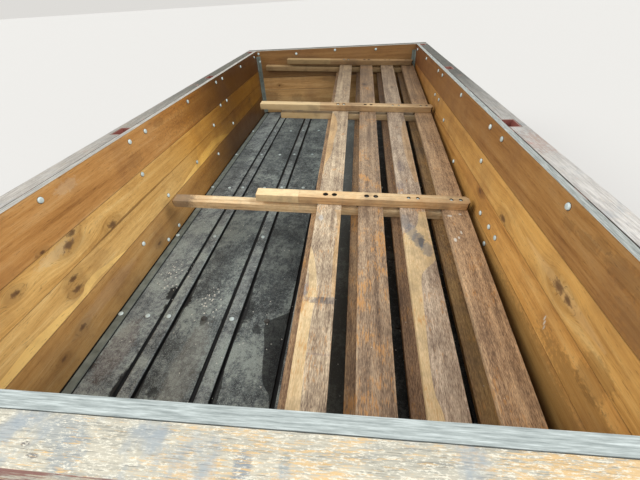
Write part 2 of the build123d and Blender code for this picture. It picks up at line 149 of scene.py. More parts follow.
def adder(tree):
    # gives the function that adds nodes to this tree
    def add(kind, inputs=None):
        # the word after the dot is the node's mode. Nodes and sockets among its inputs are linked, colours
        # and numbers set; a list fills the sockets in turn. Scale is repeats a metre, 1000 over the size
        # in millimetres, and stretch gives it along, across and through the board
        kind, *mode = kind.split(".")
        node = tree.nodes.new("ShaderNode" + kind)
        inputs = dict(enumerate(inputs) if isinstance(inputs, list) else inputs or {})
        if mode:
            setattr(node, modeOf[kind], mode[0])
        if kind == "Mix":
            node.data_type = "RGBA"
        if "stretch" in inputs:
            mapping = add("Mapping", {"Vector": inputs["Vector"], "Scale": inputs.pop("stretch")})
            inputs.update({"Vector": mapping, "Scale": 1.0})
        for span in ("From", "To"):
            if span in inputs:
                inputs[span + " Min"], inputs[span + " Max"] = inputs.pop(span)
        for key, value in inputs.items():
            if key == "stops":
                ramp = node.color_ramp
                ramp.elements.remove(ramp.elements[1])
                for i, (place, colour) in enumerate(value):
                    stop = ramp.elements.new(place) if i else ramp.elements[0]
                    stop.position = place
                    stop.color = srgb(colour) if isinstance(colour, str) else (colour,) * 3 + (1,)
            elif key == "curve":
                points = node.mapping.curves[0].points
                points[0].location, points[1].location = value[0], value[-1]
                for place in value[1:-1]:
                    points.new(*place)
                node.mapping.update()
            elif isinstance(key, str) and hasattr(node, key):
                setattr(node, key, value)
            else:
                named = [s for s in node.inputs if s.name == key and s.enabled]
                socket = named[0] if named else node.inputs[key]
                if isinstance(value, bpy.types.Node):
                    value = next(o for o in value.outputs if o.enabled)
                if isinstance(value, bpy.types.NodeSocket):
                    tree.links.new(value, socket)
                else:
                    socket.default_value = srgb(value) if isinstance(value, str) else value
        return node
    return add


def newMaterial(name):
    material = bpy.data.materials.new(name)
    material.use_nodes = True
    material.node_tree.nodes.clear()
    return material, adder(material.node_tree)


def makeMaterial(name, layOut, look):
    # a material whose colour, roughness, height, relief depth and constants a function lays out
    material, add = newMaterial(name)
    where = add("TexCoord").outputs["Object"]
    colour, roughness, height, depth, constants = layOut(add, where, look)
    bump = add("Bump", {"Strength": 1.0, "Distance": depth, "Height": height})
    shader = add("BsdfPrincipled", {
        **constants, "Base Color": colour, "Roughness": roughness, "Normal": bump})
    add("OutputMaterial", {"Surface": shader})
    return material


def coat(add, colour, shade, source, span=None, strength=1.0, blend="MIX"):
    # lays a shade over the colour, as much as the source says, or as it has passed through the span
    if span:
        source = add("MapRange", {"Value": source, "From": span, "To": (0, strength)})
    return add("Mix." + blend, {"Factor": source, "A": colour, "B": shade})


def awayFrom(add, place, point, scale):
    # the way from the point to the place, plain and with its parts scaled
    away = add("VectorMath.SUBTRACT", [place, point])
    return away, add("VectorMath.MULTIPLY", [away, scale])


# Timber: shaping, and marks that a sawn board carries

shaping = {"merge": 0.01 * mm, "flat": math.radians(0.5), "corner": math.radians(40),
           "smooth": math.radians(32), "wearDetail": 2}
boardStep = 10                      # metres between two boards of a piece in the grain's own place
curveSpan = 0.2                     # width across a board, in metres, that an edge curve covers


def makeTimber(values, material):
    # merges, cuts, eases, bores and wears a node's boards, and marks each with its own grain
    for node, name in values["nodes"].items():
        piece = bpy.data.objects.new(name, frame["nodes"][node].data.copy())
        bpy.context.scene.collection.objects.link(piece)
        editAll(piece)
        bpy.ops.mesh.customdata_custom_splitnormals_clear()
        bpy.ops.mesh.remove_doubles(threshold=shaping["merge"])
        bpy.ops.mesh.dissolve_limited(angle_limit=shaping["flat"])
        bpy.ops.object.mode_set(mode="OBJECT")
        axes = boardAxes(piece)
        spans = [v.co.dot(axes[0]) for v in piece.data.vertices]
        start, length = min(spans), max(spans) - min(spans)
        cuts = int(length / values["cut"])
        editAll(piece)
        for i in range(1, cuts):
            bpy.ops.mesh.select_all(action="SELECT")
            bpy.ops.mesh.bisect(plane_co=axes[0] * (start + length * i / cuts), plane_no=axes[0])
        applyModifier(piece, "BEVEL", width=values["ease"], segments=values["rounds"],
                      limit_method="ANGLE", angle_limit=shaping["corner"])
        if values.get("bores"):
            boreTimber(piece, values["bores"][node])
        for size, depth in values["wear"]:      # wear only takes wood away
            texture = bpy.data.textures.new(name + "Wear", "CLOUDS")
            texture.noise_scale = size
            texture.noise_depth = shaping["wearDetail"]
            applyModifier(piece, "DISPLACE", texture=texture, strength=depth, mid_level=1.0,
                          texture_coords="LOCAL")
        editAll(piece)
        bpy.ops.mesh.separate(type="LOOSE")
        bpy.ops.object.mode_set(mode="OBJECT")
        boards = sorted(bpy.context.selected_objects, key=lambda b: round(
            sum((v.co for v in b.data.vertices), Vector()).dot(axes[1]) / len(b.data.vertices), 3))
        for number, board in enumerate(boards):
            markBoard(board, number, axes)
        piece = joinAs(boards, name)
        bpy.ops.object.shade_smooth_by_angle(angle=shaping["smooth"])
        piece.data.materials.clear()
        piece.data.materials.append(material)
        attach(piece, frame["nodes"][node]["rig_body"])
        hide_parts(node)


def positive(direction):
    return direction if max(direction, key=abs) > 0 else -direction


def boardAxes(piece):
    # length runs with the longest edge, width with the longest edge square to it
    points = [v.co for v in piece.data.vertices]
    edges = [points[e.vertices[1]] - points[e.vertices[0]] for e in piece.data.edges]
    length = positive(max(edges, key=lambda e: e.length).normalized())
    square = [e for e in edges if e.length > mm and abs(e.normalized().dot(length)) < 0.02]
    width = positive(max(square, key=lambda e: e.length).normalized())
    return length, width, length.cross(width)


def markBoard(board, number, axes):
    # grain is the place in the board: along from its low end, across and through from its middle;
    # reach runs from -1 to 1 between its faces
    spans = [[v.co.dot(axis) for v in board.data.vertices] for axis in axes]
    middles = [(min(s) + max(s)) / 2 for s in spans]
    halves = [(max(s) - min(s)) / 2 for s in spans]
    origin = (min(spans[0]) - boardStep * number, middles[1], middles[2])
    grain, reach = [], []
    for point in zip(*spans):
        grain += [p - o for p, o in zip(point, origin)]
        reach += [(p - m) / h for p, m, h in zip(point, middles, halves)]
    count = len(spans[0])
    seed = random.random()
    for name, kind, values in (("grain", "FLOAT_VECTOR", grain), ("reach", "FLOAT_VECTOR", reach),
                               ("board", "FLOAT", [number] * count), ("seed", "FLOAT", [seed] * count)):
        layer = board.data.attributes.new(name, kind, "POINT")
        layer.data.foreach_set("vector" if kind == "FLOAT_VECTOR" else "value", values)


def boreTimber(piece, bores):
    # sinks round counterbores, given as (point, direction into the wood, radius, depth)
    cutters = []
    clear = 10 * mm                     # the cutter stands this far out of the wood
    for point, inward, radius, depth in bores:
        middle = Vector(point) + Vector(inward) * (depth - clear) / 2
        turn = Vector(inward).to_track_quat("Z", "Y").to_euler()
        clearSelection()
        bpy.ops.mesh.primitive_cylinder_add(vertices=20, radius=radius, depth=depth + clear,
                                            location=middle, rotation=turn)
        cutters.append(bpy.context.active_object)
    cutter = joinAs(cutters, "cutter")
    applyModifier(piece, "BOOLEAN", object=cutter, operation="DIFFERENCE", solver="EXACT")
    bpy.data.objects.remove(cutter)


def boardPoint(number, along, across):
    return boardStep * number + along * mm, across * mm, 0


def knotFlow(add, place, rough, knots):
    # dark hearts of knots (board, along, across, radius), and how far each turns the grain aside
    hearts = aside = near = add("Value")
    for number, along, across, radius in knots:
        reach = (radius * mm) ** 2
        away, flat = awayFrom(add, place, boardPoint(number, along, across), (0.55, 1, 0))
        square = add("VectorMath.DOT_PRODUCT", [flat, flat])
        share = add("Math.DIVIDE", [1.8 ** 2 * reach, square])
        share = add("Math.MINIMUM", [share, 1.0])
        sideways = add("SeparateXYZ", [away]).outputs[1]
        aside = add("Math.MULTIPLY_ADD", [sideways, share, aside])
        near = add("Math.MAXIMUM", [near, share])
        torn = add("Math.MULTIPLY", [square, rough])
        heart = add("MapRange.SMOOTHSTEP", {"Value": torn, "From": (1.15 * reach, 0.0)})
        hearts = add("Math.MAXIMUM", [hearts, heart])
    return hearts, near, aside


def bandMask(add, place, wave, board, stray, soft, strength, rows):
    # a stripe on one board, its two wandering edges drawn through rows of (along, low, high)
    start, end = rows[0][0] * mm, rows[-1][0] * mm
    parts = add("SeparateXYZ", [place])
    share = add("MapRange", {
        "Value": parts.outputs[0], "From": (boardStep * board + start, boardStep * board + end)})
    strayed = add("Math.MULTIPLY_ADD", [wave, stray * mm, parts.outputs[1]])
    gaps = []
    for column, sign in ((1, 1), (2, -1)):
        curve = add("FloatCurve", {"Value": share, "curve": [
            ((row[0] * mm - start) / (end - start), 0.5 + row[column] * mm / curveSpan) for row in rows]})
        edge = add("Math.MULTIPLY_ADD", [curve, curveSpan, (stray * mm - curveSpan) / 2])
        gap = add("Math.SUBTRACT", [strayed, edge])
        gaps.append(add("Math.MULTIPLY", [gap, sign]))
    least = add("Math.MINIMUM", [gaps[0], gaps[1]])
    inside = add("MapRange.SMOOTHSTEP", {
        "Value": least, "From": (-soft * mm, soft * mm), "To": (0, strength)})
    after = add("Math.GREATER_THAN", [share, 0.0])
    before = add("Math.LESS_THAN", [share, 1.0])
    within = add("Math.MULTIPLY", [after, before])
    return add("Math.MULTIPLY", [inside, within])


def paintMarks(add, place, wave, rough, colour, look):
    # lengths in millimetres: bands of (board, stray, soft edge, strength, grain left, colour, rows), then
    # blots of (board, along, across, half length, half width, ragged, strength, colour)
    for board, stray, soft, strength, grain, shade, rows in look["bands"]:
        mask = bandMask(add, place, wave, board, stray, soft, strength, rows)
        toned = add("Mix", {"Factor": grain, "A": shade, "B": colour})
        colour = coat(add, colour, toned, mask)
    for number, along, across, halfLength, halfWidth, ragged, strength, shade in look["blots"]:
        scale = (1 / halfLength / mm, 1 / halfWidth / mm, 0)
        gap = add("VectorMath.LENGTH", [awayFrom(add, place, boardPoint(number, along, across), scale)[1]])
        torn = add("Math.MULTIPLY_ADD", [rough, 2 * ragged, -ragged])
        both = add("Math.ADD", [gap, torn])
        mask = add("MapRange.SMOOTHSTEP", {"Value": both, "From": (1.25, 0.75), "To": (0, strength)})
        colour = coat(add, colour, shade, mask)
    return colour


# a dense ring-porous tropical hardwood, flat sawn and planed. Its pores, 0.3 mm wide, would be too fine
# to show, and are drawn at 0.9 mm
hardwood = {
    "bend": 14 * mm, "knots": [], "bands": [], "blots": [], "tints": [],
    "pithAcross": 0.20, "pithSway": 0.12, "pithDepth": 0.05, "ring": 8 * mm,
    "ringShare": 0.10, "streakShare": 0.80, "fineShare": 0.34, "mottleShare": 0.55,
    "streak": (0.8, 26, 26), "fine": (8, 260, 260), "mottle": (3.5, 14, 14), "pore": (38, 1100, 1100),
    "poreShade": 0.38, "poreColour": "#5A3716", "haloColour": "#6E4A24", "knotColour": "#4A2E22",
}


def timberGrain(add, look):
    # streaks, growth rings, fine fibres and pores of one sawn board, in its own grain coordinates
    place = add("Attribute.grain").outputs["Vector"]
    seed = add("Attribute.seed").outputs["Fac"]
    drift = add("TexNoise", {"Vector": place, "stretch": (1.5, 7, 7), "Detail": 2.0})
    bent = add("VectorMath.MULTIPLY_ADD", [drift.outputs["Color"], (0, look["bend"], look["bend"]), place])
    rough = add("TexNoise", {"Vector": place, "Scale": 75.0, "Detail": 5.0, "Roughness": 0.65})
    torn = add("MapRange", {"Value": rough, "From": (0.3, 0.7), "To": (0.15, 1.9)})
    hearts, near, aside = knotFlow(add, place, torn, look["knots"])
    parts = add("SeparateXYZ", [bent])
    across = add("Math.SUBTRACT", [parts.outputs[1], aside])
    flow = add("CombineXYZ", [parts.outputs[0], across, parts.outputs[2]])
    pith = add("Math.MULTIPLY_ADD", [seed, look["pithAcross"], -look["pithAcross"] / 2])
    sideways = add("Math.SUBTRACT", [across, pith])
    sway = add("Math.MULTIPLY_ADD", [drift, look["pithSway"], look["pithDepth"]])
    down = add("Math.ADD", [parts.outputs[2], sway])
    fromPith = add("VectorMath.LENGTH", [add("CombineXYZ", {1: sideways, 2: down})])
    turns = add("Math.DIVIDE", [fromPith, look["ring"]])
    ring = add("ValToRGB", {
        "Fac": add("Math.FRACT", [turns]), "stops": [(0.0, 0.45), (0.6, 0.85), (0.88, 0.1), (1.0, 0.45)]})
    shares = sum(look[layer + "Share"] for layer in ("ring", "streak", "fine", "mottle"))
    value = add("Math.MULTIPLY_ADD", [ring, look["ringShare"], 0.5 - shares / 2])
    layers = {}
    for layer, detail in (("streak", 4.0), ("fine", 3.0), ("mottle", 5.0)):
        layers[layer] = add("TexNoise", {
            "Vector": flow, "stretch": look[layer], "Detail": detail, "Roughness": 0.62})
        value = add("Math.MULTIPLY_ADD", [layers[layer], look[layer + "Share"], value])
    pores = add("TexNoise", {"Vector": flow, "stretch": look["pore"], "Detail": 1.0})
    colour = add("ValToRGB", {"Fac": value, "stops": look["colours"]})
    poreMask = add("MapRange", {"Value": pores, "From": (0.60, 0.72), "To": (0, look["poreShade"])})
    colour = coat(add, colour, look["poreColour"], poreMask)
    if look["tints"]:                   # one stop of a stepped ramp for each board, of at most 16
        number = add("Attribute.board").outputs["Fac"]
        share = add("Math.MULTIPLY_ADD", [number, 1 / 16, 1 / 64])
        tint = add("ValToRGB", {
            "Fac": share, "stops": [(i / 16, shade) for i, shade in enumerate(look["tints"])]})
        tint.color_ramp.interpolation = "CONSTANT"
        colour = add("Mix.MULTIPLY", {"Factor": 1.0, "A": colour, "B": tint})
    halo = add("MapRange.SMOOTHSTEP", {"Value": near, "From": (0.18, 1.0), "To": (0, 0.3)})
    colour = coat(add, colour, look["haloColour"], halo)
    colour = paintMarks(add, place, layers["streak"], rough, colour, look)
    dark = add("Math.MULTIPLY", [hearts, 0.8])
    colour = coat(add, colour, look["knotColour"], dark)
    relief = add("Math.MULTIPLY_ADD", [poreMask, -0.8, layers["fine"]])
    return place, flow, colour, relief


def faceUp(add, low, high):
    normal = add("SeparateXYZ", [add("NewGeometry").outputs["Normal"]])
    return add("MapRange", {"Value": normal.outputs[2], "From": (low, high)})


# Lining boards, counted from the lowest up. Knots, bands and blots are in millimetres

leftWall = {
    "nodes": {"side_boards_left": "leftWallBoards"}, "outward": ((-1, 0, 0), liningHigh.x),
    # the lowest board's darker tint is partly its own tone and partly painted shade
    "tints": ["#D6CBB8", "#FFFFEE", "#FFFCE6", "#DBC8B2"],
    "deep": [(0.2, "#FFFFFF"), (0.35, "#F5E3B2"), (0.54, "#92804E"), (0.66, "#7C6622")],
    "knots": [                      # board, along, across, radius
        (2, 772, -37, 15), (2, 601, 47, 12), (2, 569, 22, 17), (2, 350, 19, 10), (3, 483, -78, 7),
        (1, 511, 31, 12), (1, 503, -9, 13), (0, 435, 10, 11), (0, 972, -34, 10), (0, 323, -13, 8),
        (1, 2800, 25, 12), (1, 2830, -43, 10)],
    "bands": [                      # two runs of sapwood and a dark streak
        (1, 4, 1.2, 1, 0.2, "#FFD582", [(-20, -70, -33), (175, -70, -29.6), (296, -70, -19.4),
        (360, -70, -26.2), (415, -70, -29.6), (461, -70, -38.7), (506, -66, -38.5), (536, -52, -20.8),
        (582, -44.6, -16.4), (651, -50.5, -30.1), (727, -58, -45.3), (787, -62, -60.7)]),
        (1, 6, 1.5, 1, 0.2, "#FFD88A", [(1316, -62, -57.1), (1406, -63, -39.1), (1515, -62, -26.4),
        (1679, -55, -1.8), (1747, -46.4, 3), (1851, -33, 7.2), (1997, -48.9, -15.1), (2151, -61.1, -54.3)]),
        (2, 7, 1, 0.75, 0.2, "#4A2E16", [(630, -53, -51.5), (740, -54, -48), (950, -55, -45.5),
        (1100, -54, -48), (1250, -53, -51.5)])],
    "blots": [
        (2, 515, 29, 75, 18, 1.2, 0.22, "#D6C6A8"), (3, 1321, 49.5, 50, 20, 0.6, 0.3, "#5A4028"),
        (3, 1050, -27.5, 60, 30, 1.3, 0.2, "#57402F"), (3, 1900, -64.5, 70, 18, 1.2, 0.25, "#54402C"),
        (3, 1960, -32.5, 60, 20, 1.2, 0.2, "#54402C"), (3, 680, 45, 50, 18, 1.2, 0.3, "#D2BC9C"),
        # the pale purple-grey blot on the lowest board at 620 mm is a painted sheen
        (0, 620, 20, 160, 30, 0.5, 0.15, "#B59C8C"), (0, 100, -50, 120, 30, 0.6, 0.4, "#5A3F28"),
        (2, 150, -20, 120, 20, 0.6, 0.3, "#E2BE84"), (1, 1700, 40, 900, 50, 0.6, 0.25, "#A8742A"),
        (2, 1700, 0, 900, 120, 0.6, 0.25, "#A8742A"), (3, 2450, 0, 1000, 120, 0.6, 0.45, "#3E2A18"),
        (0, 2450, 0, 900, 120, 0.6, 0.35, "#463222")],
}
rightWall = {
    "nodes": {"side_boards_right": "rightWallBoards"}, "outward": ((1, 0, 0), liningHigh.x),
    # the lowest board's darker tint is partly its own tone and partly painted shade
    "tints": ["#DCD2BA", "#EEE0BE", "#F2EACA", "#BEAE98"],
    "grey": [(0.30, "#5E615E"), (0.5, "#8E928D"), (0.70, "#BCBFBA")],
    "deep": [(0.0, "#FFFFFF"), (1.0, "#94703C")],
    "knots": [
        (1, 1085, 48, 12), (2, 830, -47, 15), (2, 451, -4, 17), (2, 406, -5, 12), (1, 2300, 20, 10),
        (0, 1900, -30, 12)],
    "bands": [
        (2, 12, 6, 0.45, 0.2, "#E0AC5C", [(0, 30, 70), (800, 28, 70), (1700, 42, 70), (3200, 48, 70)]),
        (2, 6, 3, 0.4, 0.2, "#E6C48C", [(250, -4, 4), (420, -20, 14), (500, -18, 10), (660, -4, 2)])],
    "blots": [                      # three pale strokes, then dirt
        (1, 438, 8, 3, 10, 0.2, 0.9, "#DDD9CC"), (1, 431, -4, 3, 10, 0.2, 0.9, "#DDD9CC"),
        (1, 424, -16, 2.5, 9, 0.2, 0.9, "#DDD9CC"), (3, 523, 9.5, 30, 14, 1.2, 0.22, "#4A341F"),
        (3, 443, 16.5, 40, 16, 1.2, 0.22, "#4A341F"), (3, 405, 38.5, 30, 14, 1.2, 0.2, "#4A341F"),
        (3, 320, 27.5, 60, 25, 1.2, 0.25, "#50402E"), (1, 235, 30, 50, 35, 0.8, 0.35, "#5C4020"),
        (2, 235, -50, 50, 30, 0.8, 0.35, "#5C4020"), (3, 150, -30, 150, 40, 0.8, 0.3, "#6A5640"),
        (1, 120, -30, 300, 50, 1, 0.45, "#5E4826"), (0, 300, 0, 600, 80, 0.9, 0.4, "#5E4826")],
}
headWall = {
    "nodes": {"head_boards": "headWallBoards"}, "outward": ((0, 1, 0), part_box("head_boards")[1].y),
    "tints": ["#F4EEE2", "#F0E6D6", "#A8987E"], "deep": [(0.0, "#FFFFFF"), (1.0, "#F4EEDC")],
    "colours": [(0.20, "#A07A50"), (0.40, "#CCA576"), (0.58, "#DEBA8C"), (0.80, "#EACFA8")],
    "knots": [
        (0, 900, 20, 13), (1, 283, -20, 9), (1, 845, 55, 9), (1, 470, 80, 8), (0, 350, -40, 10)],
    "blots": [
        (0, 170, 50, 110, 45, 1.2, 0.35, "#5A4632"), (0, 450, 30, 60, 35, 1.2, 0.3, "#5A4632"),
        (1, 800, 30, 90, 30, 1.2, 0.25, "#5A4632"), (2, 500, 30, 200, 40, 0.8, 0.25, "#4E3C2A")],
}
tailWall = {
    "nodes": {"tail_boards": "tailgateBoards"}, "outward": ((0, -1, 0), -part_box("tail_boards")[0].y),
    "tints": ["#D2BBA2", "#FFFCF0", "#F4E4CC", "#E4C5A4"], "knots": [(1, 500, 10, 12)],
    "grey": [(0.30, "#767E7C"), (0.5, "#A0A8A5"), (0.70, "#C8D0CD")],
}
lining = {
    "cut": 45 * mm, "ease": 0.4 * mm, "rounds": 1, "wear": [(0.05, 0.4 * mm), (0.35, 0.5 * mm)],
    "streak": (1.0, 40, 40), "streakShare": 0.9, "fine": (10, 300, 300), "fineShare": 0.5,
    "colours": [(0.20, "#A67A45"), (0.40, "#D2A568"), (0.58, "#E4BA7C"), (0.80, "#F0D09C")],
    "grey": [(0.30, "#6C6A65"), (0.5, "#9C9A92"), (0.70, "#C8C4BA")],
    "deep": [(0.0, "#FFFFFF"), (1.0, "#FFFFFF")],       # painted shade, darker towards the headboard
    "dirtRise": 0.17, "depths": (-0.9, 1.7), "rimDrop": (12 * mm, 8 * mm), "skin": (4 * mm, 3 * mm),
}


def liningTimber(add, where, look):
    # planed lining boards, oiled golden inside; their top edges have weathered to silver grey,
    # and outside a thin red oxide paint has flaked to grey wood
    place, flow, colour, relief = timberGrain(add, look)
    acrossBox, alongBox, height = add("SeparateXYZ", [where]).outputs
    smoke = add("TexNoise", {"Vector": where, "Scale": 5.0, "Detail": 5.0, "Roughness": 0.6})
    colour = coat(add, colour, "#7C5636", smoke, (0.50, 0.74), 0.42)
    ticks = add("TexNoise", {"Vector": flow, "stretch": (30, 240, 240), "Detail": 3.0, "Roughness": 0.7})
    colour = coat(add, colour, "#54341A", ticks, (0.61, 0.70), 0.5)
    # darker near the floor: dirt, and painted shade where the walls meet the floor
    low = add("MapRange", {"Value": height, "From": (floorTop + look["dirtRise"], floorTop), "To": (0, 0.9)})
    dirtAndShade = add("Math.MULTIPLY", {0: low, 1: smoke, "use_clamp": True})
    colour = coat(add, colour, "#4C3A20", dirtAndShade)
    reach = add("SeparateXYZ", [add("Attribute.reach").outputs["Vector"]])
    seam = add("Math.ABSOLUTE", [reach.outputs[1]])
    colour = coat(add, colour, "#5E3E1E", seam, (0.95, 1.0), 0.35)
    # painted shade: the boards darken towards the headboard
    depth = add("MapRange", {"Value": alongBox, "From": look["depths"]})
    shade = add("ValToRGB", {"Fac": depth, "stops": look["deep"]})
    colour = add("Mix.MULTIPLY", {"Factor": 1.0, "A": colour, "B": shade})
    rim = add("MapRange", {"Value": height, "From": [liningHigh.z - drop for drop in look["rimDrop"]]})
    edge = add("Math.MULTIPLY", [faceUp(add, 0.25, 0.6), rim])
    bleach = add("TexNoise", {"Vector": place, "stretch": (16, 320, 320), "Detail": 5.0, "Roughness": 0.7})
    grey = add("ValToRGB", {"Fac": bleach, "stops": look["grey"]})
    colour = coat(add, colour, grey, edge)
    outward, face = look["outward"]
    side = add("VectorMath.DOT_PRODUCT", [where, outward])
    outer = add("MapRange", {"Value": side, "From": [face - skin for skin in look["skin"]]})
    endwise = add("Math.ABSOLUTE", [reach.outputs[0]])
    ends = add("MapRange", {"Value": endwise, "From": (0.9975, 0.9985)})
    outer = add("Math.MAXIMUM", [outer, ends])
    fromMiddle = add("Math.ABSOLUTE", [acrossBox])
    past = add("MapRange", {"Value": fromMiddle, "From": (liningHigh.x + mm, liningHigh.x + 2 * mm)})
    outer = add("Math.MAXIMUM", [outer, past])
    flake = add("TexNoise", {"Vector": place, "stretch": (7, 60, 60), "Detail": 8.0, "Roughness": 0.72})
    red = add("ValToRGB", {"Fac": bleach, "stops": [(0.3, "#70443B"), (0.6, "#8C5C51"), (0.8, "#A4786C")]})
    bare = add("MapRange", {"Value": flake, "From": (0.56, 0.61), "To": (0, 0.85)})
    bare = add("Math.MAXIMUM", [bare, rim])
    painted = add("Mix", {"Factor": bare, "A": red, "B": grey})
    colour = coat(add, colour, painted, outer)
    weather = add("Math.MAXIMUM", [edge, outer])
    gloss = add("MapRange", {"Value": smoke, "From": (0.3, 0.8), "To": (0.36, 0.55)})
    roughness = add("Math.MULTIPLY_ADD", {0: weather, 1: 0.4, 2: gloss, "use_clamp": True})
    return colour, roughness, relief, 0.35 * mm, {"IOR": 1.5}


for name, values in (("oiledLiningLeft", leftWall), ("oiledLiningRight", rightWall),
                     ("oiledLiningHead", headWall), ("oiledLiningTail", tailWall)):
    look = {**hardwood, **lining, **values}
    makeTimber(look, makeMaterial(name, liningTimber, look))
print("lining boards shaped")


# Top rails

stationPitch = 531 * mm             # from a pocket stanchion to the next tee upright
flangeOffset = 67 * mm              # middle of a pocket to the middle of its flange
pocketY = [stationShift + k * stationPitch for k in (-3, -1, 1, 3)]
teeY = [stationShift + k * stationPitch for k in (-2, 0, 2)]
flangeY = sorted(y + side * flangeOffset for y in pocketY for side in (-1, 1))[1:-1]
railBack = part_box("side_rail_right")[1].x
railBolt = {"drop": 32 * mm, "radius": 15 * mm, "depth": 14 * mm}
railBoltZ = liningHigh.z - railBolt["drop"]
railBores = {node: [((side * railBack, y, railBoltZ), (-side, 0, 0), railBolt["radius"], railBolt["depth"])
                    for y in flangeY + teeY]
             for node, side in (("side_rail_left", -1), ("side_rail_right", 1))}
leftRail = {                        # straw and pink: where they start and, last, their strength
    "nodes": {"side_rail_left": "leftTopRail"}, "bores": railBores, "far": "#7E807A",
    "colours": [(0.25, "#857F7A"), (0.45, "#A8A29A"), (0.60, "#C0B9B0"), (0.80, "#D4CDC3")],
    "flecks": 0.35, "straw": (0.60, 0.70, 0.30), "blue": 0.35, "pink": (0.60, 0.55), "rise": (0, 0, 0),
}
rightRail = {
    **leftRail, "nodes": {"side_rail_right": "rightTopRail"}, "far": "#6E706C",
    "colours": [(0.25, "#989290"), (0.45, "#BEB9B3"), (0.60, "#D6D1CB"), (0.80, "#EAE5DC")],
    "blots": [
        (0, 920, 6, 120, 30, 1.2, 0.4, "#A87868")],
}
headRail = {**leftRail, "nodes": {"head_rail": "headTopRail"}, "bores": None, "pink": (0.62, 0.5)}
nearRail = {
    "nodes": {"tail_rail": "tailgateTopRail"}, "ease": 1.5 * mm, "far": "#7E807A",
    "colours": [(0.25, "#908F86"), (0.42, "#ADA99A"), (0.58, "#BEB8A6"), (0.78, "#CEC7B2")],
    "flecks": 0.85, "straw": (0.53, 0.60, 0.75), "blue": 0.75, "pink": (0.78, 0.2), "rise": (0.10, 0, 0),
    "blots": [                      # blue-grey smears and small dark bruises
        (0, 575, 14, 30, 20, 0.7, 0.55, "#8A949A"), (0, 600, -12, 22, 24, 0.7, 0.5, "#8A949A"),
        (0, 822, -10, 12, 16, 0.5, 0.75, "#7B868F"), (0, 872, 0, 6, 12, 0.5, 0.6, "#858C88"),
        (0, 512, 18, 14, 10, 0.6, 0.6, "#8A949A"), (0, 535, -6, 6, 3, 0.4, 0.8, "#5F5C5C"),
        (0, 555, -18, 8, 3, 0.4, 0.8, "#5F5F62"), (0, 690, 20, 30, 8, 0.6, 0.4, "#8A949A")],
}
rail = {
    "cut": 40 * mm, "ease": 2.5 * mm, "rounds": 3, "wear": [(0.04, 0.9 * mm), (0.25, 1.1 * mm)],
    "streak": (1.4, 60, 60), "fine": (14, 330, 330), "mottle": (9, 40, 40), "fineShare": 0.7,
    "streakShare": 0.5, "mottleShare": 0.5, "ringShare": 0.15, "pore": (30, 700, 700),
    "poreShade": 0.55, "poreColour": "#77746C", "depths": (-1.5, 0.4),
}


def railTimber(add, where, look):
    # planed rails left in the sun: raised fibres bleached silver to straw, blue-grey stain,
    # and the last of a red paint, most of it on the sides
    place, flow, colour, relief = timberGrain(add, look)
    fibres = add("TexNoise", {"Vector": flow, "stretch": (34, 360, 360), "Detail": 6.0, "Roughness": 0.75})
    patches = add("TexNoise", {"Vector": where, "Scale": 11.0, "Detail": 4.0})
    rise = add("VectorMath.DOT_PRODUCT", [where, look["rise"]])
    amount = add("Math.MULTIPLY_ADD", [patches, 0.5, -0.25])
    amount = add("Math.ADD", [amount, rise])
    dashes = add("Math.ADD", [amount, fibres])
    colour = coat(add, colour, "#DBB478", dashes, look["straw"][:2], look["straw"][2])
    flecks = add("TexNoise", {"Vector": place, "stretch": (110, 420, 420), "Detail": 4.0, "Roughness": 0.8})
    colour = coat(add, colour, "#E2DDCB", flecks, (0.52, 0.60), look["flecks"])
    stain = add("TexNoise", {"Vector": place, "stretch": (17, 13, 13), "Detail": 5.0, "Roughness": 0.62})
    stained = add("Math.SUBTRACT", [stain, rise])
    colour = coat(add, colour, "#98A1A6", stained, (0.53, 0.66), look["blue"])
    alongBox = add("SeparateXYZ", [where]).outputs[1]
    # painted shade: the rails darken towards the headboard
    colour = coat(add, colour, look["far"], alongBox, look["depths"], 1.0, "MULTIPLY")
    paint = add("TexNoise", {"Vector": where, "Scale": 5.0, "Detail": 9.0, "Roughness": 0.75})
    start, strength = look["pink"]
    colour = coat(add, colour, "#A87E74", paint, (start, start + 0.05), strength)
    down = add("Math.SUBTRACT", [1.0, faceUp(add, 0.2, 0.6)])
    flake = add("TexNoise", {"Vector": place, "stretch": (6, 30, 30), "Detail": 8.0, "Roughness": 0.7})
    kept = add("MapRange", {"Value": flake, "From": (0.44, 0.50), "To": (0, 0.9)})
    level = add("VectorMath.MULTIPLY", [where, (1, 1, 0)])
    normal = add("NewGeometry").outputs["Normal"]
    facing = add("VectorMath.DOT_PRODUCT", [level, normal])
    inner = add("Math.LESS_THAN", [facing, 0.0])
    hidden = add("Math.MULTIPLY", [down, inner])
    sides = add("Math.MULTIPLY", [down, kept])
    colour = coat(add, colour, "#85534A", sides)
    colour = coat(add, colour, "#57514B", hidden)
    roughness = add("MapRange", {"Value": fibres, "To": (0.7, 0.92)})
    height = add("Math.ADD", [relief, fibres])
    return colour, roughness, height, 0.7 * mm, {"IOR": 1.45}


for name, values in (("bleachedLeftRail", leftRail), ("bleachedRightRail", rightRail),
                     ("bleachedHeadRail", headRail), ("bleachedTailgateRail", nearRail)):
    look = {**hardwood, **rail, **values}
    makeTimber(look, makeMaterial(name, railTimber, look))
print("top rails shaped")


# Floor, whose boards count from the left

